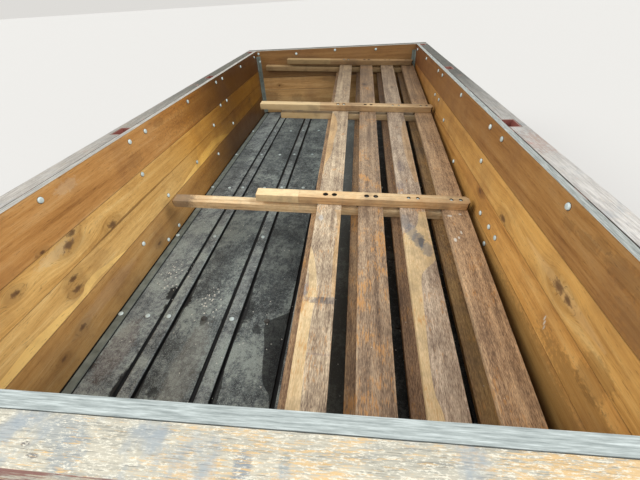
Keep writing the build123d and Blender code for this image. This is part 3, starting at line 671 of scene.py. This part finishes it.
floorPlanks = {
    "nodes": {"floor_planks": "floorPlanks"}, "damp": 1.36,
    # planks 3 to 5, under the racks, are tinted darker: partly dirt, partly painted shade
    "tints": ["#FFFFFF", "#E6EAEA", "#DADEDE", "#66686A", "#5E6062", "#5A5C5E"],
    "bands": [                      # a mat of black dirt beside the racks
        (2, 6, 1.5, 1, 0.2, "#0C0D0E", [(50, 94, 180), (270, 86, 180), (330, 50, 180), (460, 26, 180),
        (565, 8, 180), (575, 20, 180), (600, 60, 180), (625, 100, 180)]),
        (2, 22, 1.5, 1, 0.2, "#0C0D0E", [(-20, -160, -88), (250, -160, -80), (450, -160, -94),
        (600, -160, -80), (800, -160, -92), (1400, -160, -96), (2400, -160, -86)]),
        (1, 22, 1.5, 1, 0.2, "#0C0D0E", [(-20, -160, -88), (200, -160, -82), (400, -160, -96),
        (620, -160, -82), (900, -160, -96), (2400, -160, -84)])],
    "blots": [                      # damp along the strips, scuffs and a brown stain
        (1, 660, -105, 45, 30, 0.9, 0.95, "#121415"), (0, 700, 90, 40, 20, 0.9, 0.95, "#121415"),
        (0, 260, 100, 100, 16, 0.9, 0.95, "#121415"), (0, 340, -60, 35, 20, 1, 0.95, "#141514"),
        (2, 620, -80, 60, 30, 1.2, 0.7, "#1C1E1F"), (2, 530, -20, 20, 20, 1.2, 0.7, "#1C1E1F"),
        (0, 420, 10, 130, 50, 1.2, 0.2, "#7A5E4E"), (1, 560, 20, 22, 16, 0.9, 0.75, "#17191A"),
        (1, 270, -40, 18, 18, 1, 0.7, "#1C1E1F"), (1, 350, 30, 200, 50, 1.2, 0.3, "#8A8578"),
        (0, 1900, -30, 500, 90, 1, 0.4, "#1E2122"), (1, 2500, 0, 600, 120, 1, 0.15, "#22262A"),
        (2, 1100, 0, 500, 120, 1, 0.45, "#23272A"), (1, 1200, 0, 500, 120, 1, 0.3, "#23272A")],
}
floorStrips = {"nodes": {"floor_strips": "floorCoverStrips"}, "damp": 1.55, "tints": ["#FFFFFF"] * 5}
floorWood = {
    "cut": 60 * mm, "ease": 1.5 * mm, "rounds": 2, "wear": [(0.05, 1.0 * mm), (0.35, 1.0 * mm)],
    "colours": [(0.22, "#4C5052"), (0.45, "#6A7071"), (0.60, "#808583"), (0.82, "#9DA09A")],
    "fine": (14, 230, 230), "fineShare": 0.4, "mottle": (22, 34, 34), "mottleShare": 0.6,
    "streakShare": 0.35, "poreColour": "#1B1C1D", "poreShade": 0.5,
    "dark": (0.01, 0.05), "darker": (0.24, 0.34),       # right of these x, under the racks, the floor is painted plain dark: painted shade
    "wall": (0.7060, 0.7075), "groove": (2.5 * mm, 4 * mm),
    "gravel": ((-0.615, -0.81, 0.08, 0.15), (-0.385, -0.96, 0.07, 0.12)),   # patches' x, y, half sizes
}


def floorTimber(add, where, look):
    # floor planks: hardwood gone grey-black under years of loads, pale dust and grit trodden in,
    # black along the strips and the walls and down the gaps: partly damp and dirt, partly painted shade
    place, _, colour, relief = timberGrain(add, {**look, "bands": [], "blots": []})
    acrossBox, _, height = add("SeparateXYZ", [where]).outputs
    cloudy = add("TexNoise", {"Vector": where, "Scale": 7.0, "Detail": 9.0, "Roughness": 0.66})
    grit = add("TexNoise", {"Vector": where, "Scale": 55.0, "Detail": 8.0, "Roughness": 0.82})
    sand = add("TexNoise", {"Vector": where, "Scale": 260.0, "Detail": 3.0, "Roughness": 0.7})
    both = add("Math.ADD", [grit, cloudy])
    for shade, source, span, strength in (
            ("#9AA39B", both, (1.00, 1.12), 0.75), ("#2B2E2F", both, (0.98, 0.86), 0.7),
            ("#AEB6AF", sand, (0.56, 0.66), 0.7), ("#242626", sand, (0.42, 0.34), 0.75)):
        colour = coat(add, colour, shade, source, span, strength)
    colour = paintMarks(add, place, cloudy, grit, colour, look)
    # painted shade of the racks on the floor beneath them
    rackShade = coat(add, "#6A6D68", "#404140", acrossBox, look["darker"])
    colour = coat(add, colour, rackShade, acrossBox, look["dark"], 0.7)
    reach = add("SeparateXYZ", [add("Attribute.reach").outputs["Vector"]])
    edge = add("Math.ABSOLUTE", [reach.outputs[1]])
    damp = add("TexNoise", {"Vector": where, "Scale": 13.0, "Detail": 5.0, "Roughness": 0.6})
    near = add("Math.MULTIPLY_ADD", [edge, 0.9, damp])
    dampAndShade = add("MapRange", {"Value": near, "From": (look["damp"], look["damp"] + 0.07), "To": (0, 0.92)})
    # by the walls and down the gaps the black is painted shade as well as dirt
    fromMiddle = add("Math.ABSOLUTE", [acrossBox])
    corner = add("MapRange", {"Value": fromMiddle, "From": look["wall"]})
    dampAndShade = add("Math.MAXIMUM", [dampAndShade, corner])
    groove = add("MapRange", {"Value": height, "From": [floorTop - depth for depth in look["groove"]]})
    dampAndShade = add("Math.MAXIMUM", [dampAndShade, groove])
    colour = coat(add, colour, "#0F1011", dampAndShade)
    cells = add("TexVoronoi", {"Vector": where, "Scale": 85.0})
    strewn = add("Value")
    for x, y, halfX, halfY in look["gravel"]:
        gap = add("VectorMath.LENGTH", [awayFrom(add, where, (x, y, 0), (1 / halfX, 1 / halfY, 0))[1]])
        patch = add("MapRange", {"Value": gap, "From": (1.1, 0.4)})
        strewn = add("Math.MAXIMUM", [strewn, patch])
    size = add("Math.MULTIPLY_ADD", [strewn, 0.14, 0.18])
    speck = add("Math.LESS_THAN", [cells.outputs["Distance"], size])
    chance = add("MapRange", {"Value": cloudy, "From": (0.60, 0.42), "To": (0.92, 0.985)})
    chance = add("Math.MULTIPLY_ADD", [strewn, -0.4, chance])
    lot = add("SeparateXYZ", [cells.outputs["Color"]])
    some = add("Math.GREATER_THAN", [lot, chance])
    crumbs = add("Math.MULTIPLY", [speck, some])
    colour = coat(add, colour, "#D2D0C4", crumbs)
    roughness = add("MapRange", {"Value": dampAndShade, "To": (0.84, 0.6)})
    relief = add("Math.MULTIPLY_ADD", [grit, 0.6, relief])
    return colour, roughness, relief, 0.6 * mm, {"IOR": 1.45}


for name, values in (("troddenPlanks", floorPlanks), ("troddenStrips", floorStrips)):
    look = {**hardwood, **floorWood, **values}
    makeTimber(look, makeMaterial(name, floorTimber, look))
print("floor shaped")


# Side racks, whose slats count from the middle of the box and stakes from the tailboard

rackTurns = (("Z", -0.40), ("X", 5.92), ("Y", 2.67))
rackCorner = Vector((677, -1605.5, 217.3)) * mm + Vector((0, stationShift, 0))
rackPlace = Matrix.Translation(rackCorner)
for axis, degrees in rackTurns:
    rackPlace = rackPlace @ Matrix.Rotation(math.radians(degrees), 4, axis)
rackPlaces = {"lower": rackPlace, "upper": rackPlace @ Matrix.Translation(Vector((31, -5, 62.3)) * mm)}
rackBolt = {
    "slats": (-623.5 * mm, -434.5 * mm, -245.5 * mm, -56.5 * mm), "apart": 20.5 * mm,
    "stakes": (30 * mm, 1092 * mm, 2154 * mm, 3216 * mm), "top": 62 * mm,
    "radii": (12 * mm, 11 * mm, 8.5 * mm, 8.5 * mm), "depth": 9 * mm,
}


def rackPoints(rack):
    # slat, stake, point on the stake's top and direction up, for each bolt
    turn = rackPlaces[rack].to_3x3()
    for slat, x in enumerate(rackBolt["slats"]):
        for stake, y in enumerate(rackBolt["stakes"]):
            for side in (-1, 1):
                point = rackPlaces[rack] @ Vector((x + side * rackBolt["apart"], y, rackBolt["top"]))
                yield slat, stake, point, turn @ Vector((0, 0, 1))


stakeBores = {rack + "_rack_stakes": [
    (point, -up, rackBolt["radii"][slat], rackBolt["depth"]) for slat, stake, point, up in rackPoints(rack)]
    for rack in rackPlaces}
upperSlats = {
    "nodes": {"upper_rack_slats": "upperRackSlats"}, "tints": ["#FFFFF8", "#D8CDBF", "#FFFFFF", "#F8E6CE"],
    "knots": [
        (1, 2680, -20, 12), (2, 2620, 10, 8)],
    "bands": [                      # sapwood along the edges and two grey stains
        (0, 4, 1.2, 0.9, 0.4, "#F2D49A", [(-20, -80, -12), (185, -80, -15), (329, -80, -18),
        (476, -80, -15), (522, -80, -12)]),
        (0, 4, 1.2, 0.75, 0.4, "#F2D49A", [(542, -45, -7), (569, -40, -10), (638, -46, -17),
        (700, -54, -29), (789, -55, -53)]),
        (0, 4, 1.2, 0.7, 0.4, "#D2A768", [(548, 44, 70), (700, 38, 70), (1000, 36, 70), (1030, 22, 70)]),
        (0, 4, 1.2, 0.9, 0.4, "#CFA567", [(1335, -80, -51), (1404, -80, -51), (1528, -80, -25),
        (1724, -80, -18), (1849, -80, -9), (1986, -80, -19), (2096, -80, -49)]),
        (0, 5, 3, 0.6, 0.2, "#5B5A5E", [(517, -30, 55), (530, -22, 55), (545, 0, 55)]),
        (0, 5, 1, 0.3, 0.2, "#6E5664", [(331, -17, 60), (338, -17, 60)]),
        (2, 4, 1.2, 0.9, 0.4, "#EACB8E", [(-20, -80, -6), (195, -80, -14), (253, -80, -28), (327, -80, -30),
        (448, -80, -24), (561, -80, -18), (658, -80, -11), (702, -80, 11), (750, -80, 51), (800, -80, 70),
        (860, -70, 70), (910, -30, 70), (960, 10, 70), (1045, 25, 70)]),
        (2, 10, 1.2, 0.65, 0.4, "#CBA063", [(1280, 36, 60), (1500, 18, 70), (1800, 16, 70), (1990, 40, 70)])],
    "blots": [                      # grey marks and bird droppings
        (2, 970, -40, 50, 22, 0.9, 0.45, "#6F757C"), (2, 910, -20, 50, 22, 0.9, 0.5, "#6F757C"),
        (2, 860, 4, 45, 24, 0.9, 0.6, "#62686F"), (2, 810, 30, 40, 22, 0.9, 0.55, "#6F757C"),
        (2, 850, 12, 25, 12, 0.9, 0.75, "#4A5058"), (0, 575, -52, 30, 12, 0.6, 0.6, "#77757A"),
        (0, 533, 10, 12, 20, 0.6, 0.5, "#47413F"), (2, 1425, -22, 60, 20, 0.8, 0.45, "#625A60"),
        (2, 1235, -38, 50, 20, 0.8, 0.4, "#625A60"), (0, 970, -30, 20, 10, 0.8, 0.7, "#D5D3CC"),
        (3, 1025, -31, 6, 10, 0.6, 0.9, "#DAD8CE"), (3, 1039, 16, 5, 6, 0.5, 0.9, "#DAD8CE"),
        (3, 918, -4, 10, 4, 0.6, 0.9, "#DAD8CE"), (3, 871, -37, 12, 6, 0.6, 0.9, "#DAD8CE"),
        (3, 885, -20, 7, 4, 0.6, 0.8, "#DAD8CE"), (1, 2678, -20, 12, 24, 0.9, 0.5, "#4A3A30"),
        (2, 1750, 0, 50, 12, 0.9, 0.5, "#C9BBA8")],
}
lowerSlats = {
    "nodes": {"lower_rack_slats": "lowerRackSlats"}, "tints": ["#F4DEC2", "#EAD4B8", "#E0C8B0", "#DCC296"],
    "bands": [
        (3, 14, 1.2, 0.45, 0.4, "#B08C50", [(-20, -60, 10), (300, -50, 0), (700, -60, -20)])],
}
upperStakes = {
    "nodes": {"upper_rack_stakes": "upperRackStakes"}, "bores": stakeBores,
    "bands": [                      # ends bleached paler where they stood in the sockets
        (stake, 0, 1, 0.75, 0.2, "#F4DEAC", [(-20, -100, 100), (length, -100, 100)])
        for stake, length in enumerate((410, 200, 424, 410))],
    "blots": [
        (2, 620, 0, 100, 30, 0.9, 0.3, "#8F6C44"), (1, 950, 0, 50, 30, 0.9, 0.3, "#7E5D3B")],
}
lowerStakes = {
    "nodes": {"lower_rack_stakes": "lowerRackStakes"}, "bores": stakeBores,
    # lighter than the upper stakes' colours: painted light on stakes that sit in shade
    "colours": [(0.22, "#C09C74"), (0.42, "#E0C294"), (0.58, "#F0D6A8"), (0.78, "#FAE8C2")],
    "bands": [
        (2, 0, 1, 0.7, 0.2, "#E0C48C", [(-20, -100, 100), (283, -100, 100)]),
        (1, 8, 3, 0.5, 0.2, "#A2734A", [(100, -12, -2), (400, -8, 4), (900, 0, 8)])],
    "blots": [
        (1, 15, 0, 100, 60, 0.7, 0.75, "#75614F")],
}
slat = {
    "cut": 40 * mm, "ease": 2.0 * mm, "rounds": 2, "wear": [(0.04, 1.0 * mm), (0.25, 1.0 * mm)],
    "colours": [(0.22, "#5E4E42"), (0.42, "#988470"), (0.58, "#C9B69E"), (0.78, "#ECDABE")],
    "streak": (1.1, 50, 50), "streakShare": 0.6, "fine": (60, 480, 480), "fineShare": 0.95,
    "mottle": (6, 26, 26), "mottleShare": 0.42, "pore": (90, 800, 800), "poreShade": 0.7,
    "poreColour": "#3A2A1E", "knotColour": "#33261F", "haloColour": "#6A4E38", "flecks": ("#C69050", 0.7),
}
stakeWood = {
    "cut": 40 * mm, "ease": 2.5 * mm, "rounds": 3, "wear": [(0.04, 1.2 * mm), (0.25, 1.0 * mm)],
    "colours": [(0.22, "#A0805A"), (0.42, "#C6A478"), (0.58, "#D8BA8C"), (0.78, "#E6CEA2")],
    "streak": (1.4, 60, 60), "fine": (14, 260, 260), "fineShare": 0.6, "poreColour": "#6B4A2A",
    "flecks": ("#C08A4C", 0.3),
}
bearers = {
    "nodes": {"cross_bearers": "crossBearerTimbers", "waist_rails_left": "leftWaistRails",
              "waist_rails_right": "rightWaistRails", "rack_blocks": "rackBlocks"},
    "cut": 90 * mm, "ease": 2.0 * mm, "rounds": 2, "wear": [(0.12, 1.0 * mm)],
    "colours": [(0.22, "#43362B"), (0.42, "#63513F"), (0.58, "#7F6B55"), (0.78, "#9A866D")],
    "streak": (1.4, 30, 30), "flecks": ("#8A6A44", 0.3),
}
rackLook = {"depths": (-0.5, 1.6), "fleckBoard": 1, "bored": (0.90, 0.84)}


def rackTimber(add, where, look):
    # rack slats and stakes: rough planed hardwood browned by weather, its open pores dark,
    # pale sapwood left on some edges, and lime specks that birds have dropped
    _, flow, colour, relief = timberGrain(add, look)
    flecks = add("TexNoise", {"Vector": flow, "stretch": (26, 190, 190), "Detail": 5.0, "Roughness": 0.7})
    mottle = add("TexNoise", {"Vector": where, "Scale": 9.0, "Detail": 6.0, "Roughness": 0.65})
    both = add("Math.MULTIPLY_ADD", [mottle, 1.0, flecks])
    number = add("Attribute.board").outputs["Fac"]
    flecked = add("Math.COMPARE", [number, rackLook["fleckBoard"], 0.5])
    both = add("Math.MULTIPLY_ADD", [flecked, 0.07, both])
    alongBox = add("SeparateXYZ", [where]).outputs[1]
    # painted shade: darker towards the headboard, with fewer flecks there
    far = add("MapRange", {"Value": alongBox, "From": rackLook["depths"]})
    both = add("Math.MULTIPLY_ADD", [far, -0.12, both])
    shade, strength = look["flecks"]
    colour = coat(add, colour, shade, both, (1.12, 1.22), strength)
    colour = coat(add, colour, "#5C4C40", mottle, (0.52, 0.34), 0.4)
    colour = add("Mix.MULTIPLY", {"Factor": far, "A": colour, "B": "#9C907E"})
    # painted shade: points well inside a board's section, as down the counterbores, go near black
    reach = add("Attribute.reach").outputs["Vector"]
    inside = add("SeparateXYZ", [add("VectorMath.ABSOLUTE", [reach])])
    most = add("Math.MAXIMUM", [inside.outputs[1], inside.outputs[2]])
    colour = coat(add, colour, "#17120F", most, rackLook["bored"])
    cells = add("TexVoronoi", {"Vector": where, "Scale": 48.0})
    speck = add("Math.LESS_THAN", [cells.outputs["Distance"], 0.09])
    lot = add("SeparateXYZ", [cells.outputs["Color"]])
    some = add("Math.GREATER_THAN", [lot, 0.94])
    lime = add("Math.MULTIPLY", [speck, some])
    lime = add("Math.MULTIPLY", [lime, faceUp(add, 0.5, 0.7)])
    colour = coat(add, colour, "#C6C2B6", lime)
    roughness = add("MapRange", {"Value": mottle, "To": (0.5, 0.78)})
    height = add("Math.MULTIPLY_ADD", [flecks, 0.6, relief])
    return colour, roughness, height, 0.5 * mm, {"IOR": 1.5}


for name, common, values in (
        ("weatheredSlats", slat, upperSlats), ("shadedSlats", slat, lowerSlats),
        ("handledStakes", stakeWood, upperStakes), ("shadedStakes", stakeWood, lowerStakes),
        ("sawnBearers", bearers, {})):
    look = {**hardwood, **common, **values}
    makeTimber(look, makeMaterial(name, rackTimber, look))
print("racks and bearers shaped")


# Steel

def paintedSteel(add, where, look):
    # rolled and pressed mild steel under brushed red oxide paint: chalky where the sun reaches,
    # rusting from scratches and along the foot
    broad = add("TexNoise", {"Vector": where, "Scale": 4.0, "Detail": 6.0, "Roughness": 0.6})
    brush = add("TexNoise", {"Vector": where, "Scale": 60.0, "Detail": 4.0, "Roughness": 0.7})
    chips = add("TexNoise", {"Vector": where, "Scale": 17.0, "Detail": 10.0, "Roughness": 0.75})
    paint = add("ValToRGB", {"Fac": broad, "stops": look["colours"]})
    rust = add("ValToRGB", {"Fac": brush, "stops": look["rust"]})
    rusty = add("MapRange", {"Value": chips, "From": (0.585, 0.63)})
    colour = add("Mix", {"Factor": rusty, "A": paint, "B": rust})
    dusty = add("Math.MULTIPLY", [faceUp(add, 0.55, 0.85), broad])
    colour = coat(add, colour, "#8B8074", dusty)
    roughness = add("MapRange", {"Value": rusty, "To": (0.52, 0.9)})
    height = add("Math.MULTIPLY_ADD", [rusty, -0.7, brush])
    return colour, roughness, height, 0.25 * mm, {"IOR": 1.5}


def zincSteel(add, where, look):
    # galvanised steel gone dull: zinc bloom, brown rust where it is thin, each fastener its own tone
    broad = add("TexNoise", {"Vector": where, "Scale": 22.0, "Detail": 6.0, "Roughness": 0.65})
    fine = add("TexNoise", {"Vector": where, "Scale": 210.0, "Detail": 3.0})
    seed = add("Attribute.seed").outputs["Fac"]
    tone = add("Math.MULTIPLY_ADD", [seed, -0.2, broad])
    colour = add("ValToRGB", {"Fac": tone, "stops": look["colours"]})
    both = add("Math.MULTIPLY_ADD", [fine, 0.3, broad])
    colour = coat(add, colour, "#5A3A24", both, (look["rust"], look["rust"] + 0.06), 0.9)
    roughness = add("MapRange", {"Value": both, "To": (0.38, 0.8)})
    return colour, roughness, fine, 0.15 * mm, {"Metallic": look["metallic"]}


def boltFootStainAndShade(add, where, look):
    # the dark ring round a bolt's foot: the stain iron draws out of wet hardwood, and painted shade under the
    # head
    cloudy = add("TexNoise", {"Vector": where, "Scale": 300.0, "Detail": 3.0})
    colour = add("ValToRGB", {"Fac": cloudy, "stops": look["colours"]})
    roughness = add("MapRange", {"Value": cloudy, "To": (0.7, 0.95)})
    return colour, roughness, cloudy, 0.2 * mm, {"IOR": 1.45}


redOxide = {
    "colours": [(0.30, "#6A3A32"), (0.50, "#874F45"), (0.72, "#A27064")],
    "rust": [(0.3, "#2E1A12"), (0.5, "#5B3118"), (0.75, "#8B5327")]}
dullZinc = {
    "colours": [(0.3, "#5F665F"), (0.55, "#7C837B"), (0.8, "#9AA097")], "rust": 0.80, "metallic": 0.3}
boltZinc = {
    "colours": [(0.2, "#A4B1AF"), (0.45, "#C9D8D6"), (0.7, "#E1ECEA")], "rust": 0.95, "metallic": 0.15}
dirtyZinc = {
    "colours": [(0.2, "#2B2A28"), (0.45, "#464541"), (0.7, "#6A6963")], "rust": 0.80, "metallic": 0.1}
stainAndShadeRing = {"colours": [(0.35, "#2A211B"), (0.65, "#4A3A2C")]}
finishes = {"painted_steel": makeMaterial("redOxideSteel", paintedSteel, redOxide),
            "bare_steel": makeMaterial("dullGalvanised", zincSteel, dullZinc)}
for node, source in frame["nodes"].items():
    if slotOf[node] in finishes:
        source.data.materials.clear()
        source.data.materials.append(finishes[slotOf[node]])
boltMetal = makeMaterial("zincBolts", zincSteel, boltZinc)
dirtyMetal = makeMaterial("dirtyBolts", zincSteel, dirtyZinc)
ironStain = makeMaterial("ironStain", boltFootStainAndShade, stainAndShadeRing)
print("steel finished")


# Coach bolts and nuts, each joined from one modelled fastener

coachBolt = {"radius": 10.3 * mm, "height": 4.8 * mm, "sides": 16, "ring": 1.0 * mm, "lift": 0.5 * mm,
             "foot": 1 * mm, "dome": 0.86}
nut = {"across": 15 * mm, "height": 6.5 * mm, "washer": 12 * mm, "washerHeight": 1.6 * mm,
       "thread": 4 * mm, "stub": 10 * mm, "cornerEase": 0.8 * mm, "threadEase": 0.5 * mm}


def turnedDisc(sides, radius, foot, height, material, rounding=0.0):
    # a round or six-sided blank on its foot, its top edge eased
    clearSelection()
    bpy.ops.mesh.primitive_cylinder_add(vertices=sides, radius=radius, depth=height,
                                        location=(0, 0, foot + height / 2))
    disc = bpy.context.active_object
    if rounding:
        editEdges(disc, lambda e: all(disc.data.vertices[v].co.z > 0 for v in e.vertices))
        bpy.ops.mesh.bevel(offset=rounding, segments=3, profile=0.5, affect="EDGES")
        bpy.ops.object.mode_set(mode="OBJECT")
    disc.data.materials.append(material)
    choose(disc)
    bpy.ops.object.transform_apply(location=True, rotation=True, scale=True)
    bpy.ops.object.shade_smooth_by_angle(angle=math.radians(50))
    return disc


def makeCoachHead(metal):
    sides, radius, height = coachBolt["sides"], coachBolt["radius"], coachBolt["height"]
    head = turnedDisc(sides, radius, 0, height, metal, height * coachBolt["dome"])
    # a dark ring round the head's foot: iron stain and painted shade
    ring = turnedDisc(sides, radius + coachBolt["ring"], -coachBolt["foot"],
                      coachBolt["foot"] + coachBolt["lift"], ironStain)
    return joinAs([ring, head], "coachHead")


def makeNut(metal):
    foot = nut["washerHeight"]
    corner = nut["across"] / 2 / math.cos(math.pi / 6)
    return joinAs([
        turnedDisc(16, nut["washer"], 0, foot, metal),
        turnedDisc(6, corner, foot, nut["height"], metal, nut["cornerEase"]),
        turnedDisc(12, nut["thread"], foot, nut["stub"], metal, nut["threadEase"])], "hexNut")


def setFasteners(name, body, source, places):
    piece = placeCopies(source, name, places)
    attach(piece, body)


# heads seen in the walls, as (y, z), and the regular ones where the racks hide them
leftHeads = [
    (-1.0364, 0.7609), (-0.5479, 0.7555), (-0.4199, 0.7558), (0.0512, 0.7594), (0.5206, 0.7597),
    (0.6464, 0.7583), (1.1038, 0.7545), (-0.5561, 0.6074), (0.5061, 0.6132), (0.6404, 0.6110),
    (0.3137, 0.5363), (-0.0501, 0.4355), (-0.4341, 0.4265), (0.6713, 0.4321), (-0.7388, 0.3494),
    (0.2718, 0.3499), (-0.4443, 0.2425), (-0.5699, 0.2408), (flangeY[0], 0.7570), (flangeY[-1], 0.7560)]
rightHeads = [
    (-1.0581, 0.7613), (-0.5852, 0.7556), (-0.4542, 0.7561), (0.0136, 0.7599), (0.4823, 0.7604),
    (0.6140, 0.7615), (-0.4563, 0.6111), (0.4712, 0.6174), (0.5985, 0.6172), (0.2613, 0.5533),
    (-0.0931, 0.4440), (-0.5950, 0.4362), (-0.7032, 0.4410), (-0.7761, 0.4416), (-0.7108, 0.3609),
    (flangeY[0], 0.7570), (flangeY[-1], 0.7600), (teeY[2], 0.7600)]
rightHeads += [(y, 0.2410) for y in flangeY + teeY]
headHeads = [(-0.733, 0.7665), (-0.728, 0.7007), (-0.364, 0.754), (0.006, 0.7706), (0.385, 0.7619),
             (0.759, 0.756), (-0.378, 0.245), (0.0, 0.245), (0.378, 0.245)]
tailHeads = [(x, z) for x in (-0.48, -0.16, 0.16, 0.48) for z in (0.30, 0.46, 0.58, 0.70)]
headFace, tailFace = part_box("head_boards")[0].y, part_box("tail_boards")[1].y
places = [((liningLow.x * -1, y, z), (1, 0, 0)) for y, z in leftHeads]
places += [((liningLow.x, y, z), (-1, 0, 0)) for y, z in rightHeads]
places += [((x, headFace, z), (0, -1, 0)) for x, z in headHeads]
setFasteners("wallBoltHeads", "load_box", makeCoachHead(boltMetal), places)
setFasteners("tailgateBoltHeads", "tailboard", makeCoachHead(boltMetal),
             [((x, tailFace, z), (0, 1, 0)) for x, z in tailHeads])

floorRows = {"strips": 0.264, "edge": 0.734, "planks": (0.619, 0.380, 0.122), "sink": mm}   # each row's x
bearerY = [stationShift + k * stationPitch for k in (-2, -1, 0, 1, 2)]
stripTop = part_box("floor_strips")[1].z - floorRows["sink"]
plankTop = floorTop - floorRows["sink"]
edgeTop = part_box("floor_edge_strips")[1].z
places = [((k * floorRows["strips"], y, stripTop), (0, 0, 1)) for k in (-2, -1, 0, 1, 2) for y in bearerY]
places += [((side * x, y, plankTop), (0, 0, 1)) for x in floorRows["planks"] for side in (-1, 1)
           for y in ([bearerY[0], bearerY[2]] if x > 0.5 else bearerY[2:])]
places += [((side * floorRows["edge"], y, edgeTop), (0, 0, 1)) for side in (-1, 1) for y in bearerY]
setFasteners("floorBoltHeads", "load_box", makeCoachHead(boltMetal), places)
places = [((side * x, bearerY[0], plankTop), (0, 0, 1)) for x in floorRows["planks"][1:] for side in (-1, 1)]
setFasteners("dirtyBoltHeads", "load_box", makeCoachHead(dirtyMetal), places)

outside = {"steel": 4 * mm, "besideTee": 18 * mm, "besideEndTee": 16 * mm}     # thickness, bolt offsets
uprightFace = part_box("side_uprights_right")[0].x + outside["steel"]
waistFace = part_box("waist_rails_right")[1].x
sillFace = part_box("side_sills")[1].x
flangesAndTees = flangeY + [y + outside["besideTee"] for y in teeY]
outsideNuts = [(y, railBoltZ, railBack - railBolt["depth"]) for y in flangeY + teeY]
outsideNuts += [(y, z, uprightFace) for z in (0.612, 0.350) for y in flangesAndTees]
outsideNuts += [(y, 0.242, sillFace) for y in flangeY + teeY]
outsideNuts += [(stationShift + k * stationPitch / 2, 0.440, waistFace) for k in (-5, -3, -1, 1, 3, 5)]
places = [((side * x, y, z), (side, 0, 0)) for y, z, x in outsideNuts for side in (-1, 1)]
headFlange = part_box("head_uprights")[0].y + outside["steel"]
places += [((x + side * outside["besideEndTee"], headFlange, z), (0, 1, 0)) for x in (-0.378, 0.0, 0.378)
           for side in (-1, 1) for z in (0.35, 0.61)]
setFasteners("outsideNuts", "load_box", makeNut(boltMetal), places)
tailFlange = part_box("tail_boards")[0].y - outside["steel"]
setFasteners("tailgateNuts", "tailboard", makeNut(boltMetal),
             [((x + outside["besideEndTee"], tailFlange, z), (0, -1, 0)) for x, z in tailHeads])
nutFoot = rackBolt["depth"] + 6 * mm        # a rack's nuts sit this far below the top of its stakes
for rack in rackPlaces:
    missing = {(0, 1)} if rack == "upper" else set()        # slat and stake whose holes stand open
    for name, metal, slats in (("RackNuts", boltMetal, (0, 2, 3)), ("RackDirtyNuts", dirtyMetal, (1,))):
        sunk = [(point - up * nutFoot, up) for s, stake, point, up in rackPoints(rack)
                if s in slats and (s, stake) not in missing]
        setFasteners(rack + name, rack + "_rack", makeNut(metal), sunk)
    under = [(point - up * rackBolt["top"], -up) for s, stake, point, up in rackPoints(rack)]
    setFasteners(rack + "RackBoltHeads", rack + "_rack", makeCoachHead(boltMetal), under)
print("fasteners set")


# Floor, backdrop, light and camera

studio = {
    "floor": "#C4C2BE", "floorSize": 120, "backdrop": "#DEDCD8", "sky": "#F1F4F7", "skyStrength": 0.6,
    "lampWidth": math.radians(40), "lamps": (       # name, direction towards it, strength
        ("rightSoftbox", (3.0, -0.8, 2.5), 2.3), ("leftSoftbox", (-3.0, -0.6, 2.5), 2.1),
        ("tailSoftbox", (0.4, -3.0, 1.7), 0.7)),
}
view = {"place": (0.21156, -1.80079, 1.22640), "lens": 17.992, "sensor": 36, "near": 0.02,
        "turns": (("Z", 0.134067), ("X", math.pi / 2 - 0.663884), ("Z", -0.066379))}


def makeStage():
    bpy.ops.mesh.primitive_plane_add(size=studio["floorSize"], location=(0, 0, 0))
    ground = bpy.context.active_object
    ground.name = "paleFloor"
    material, add = newMaterial("paleFloor")
    shader = add("BsdfPrincipled", {"Base Color": studio["floor"], "Roughness": 0.9})
    add("OutputMaterial", {"Surface": shader})
    ground.data.materials.append(material)


def makeLights():
    world = bpy.data.worlds.new("softDay")
    bpy.context.scene.world = world
    world.use_nodes = True
    world.node_tree.nodes.clear()
    add = adder(world.node_tree)
    rays = add("LightPath").outputs
    seen = add("Math.MAXIMUM", [rays["Is Camera Ray"], rays["Is Glossy Ray"]])
    light = add("Background", {"Color": studio["sky"], "Strength": studio["skyStrength"]})
    back = add("Background", {"Color": studio["backdrop"], "Strength": 1.0})
    both = add("MixShader", [seen, light, back])
    add("OutputWorld", {"Surface": both})
    for name, place, strength in studio["lamps"]:
        bpy.ops.object.light_add(type="SUN", location=place)
        lamp = bpy.context.active_object
        lamp.name = name
        lamp.data.angle = studio["lampWidth"]
        lamp.data.energy = strength
        lamp.rotation_euler = Vector(place).to_track_quat("Z", "Y").to_euler()


def makeCamera():
    # the photograph's own place and tilt, fitted to the box's edges
    bpy.ops.object.camera_add(location=view["place"])
    camera = bpy.context.active_object
    camera.name = "photoCamera"
    camera.data.sensor_width = view["sensor"]
    camera.data.lens = view["lens"]
    camera.data.clip_start = view["near"]
    turn = Matrix.Translation(view["place"])
    for axis, angle in view["turns"]:
        turn = turn @ Matrix.Rotation(angle, 4, axis)
    camera.matrix_world = turn
    bpy.context.scene.camera = camera


makeStage()
makeLights()
makeCamera()
bpy.context.scene.view_settings.view_transform = "Standard"
print("stage, light and camera set")
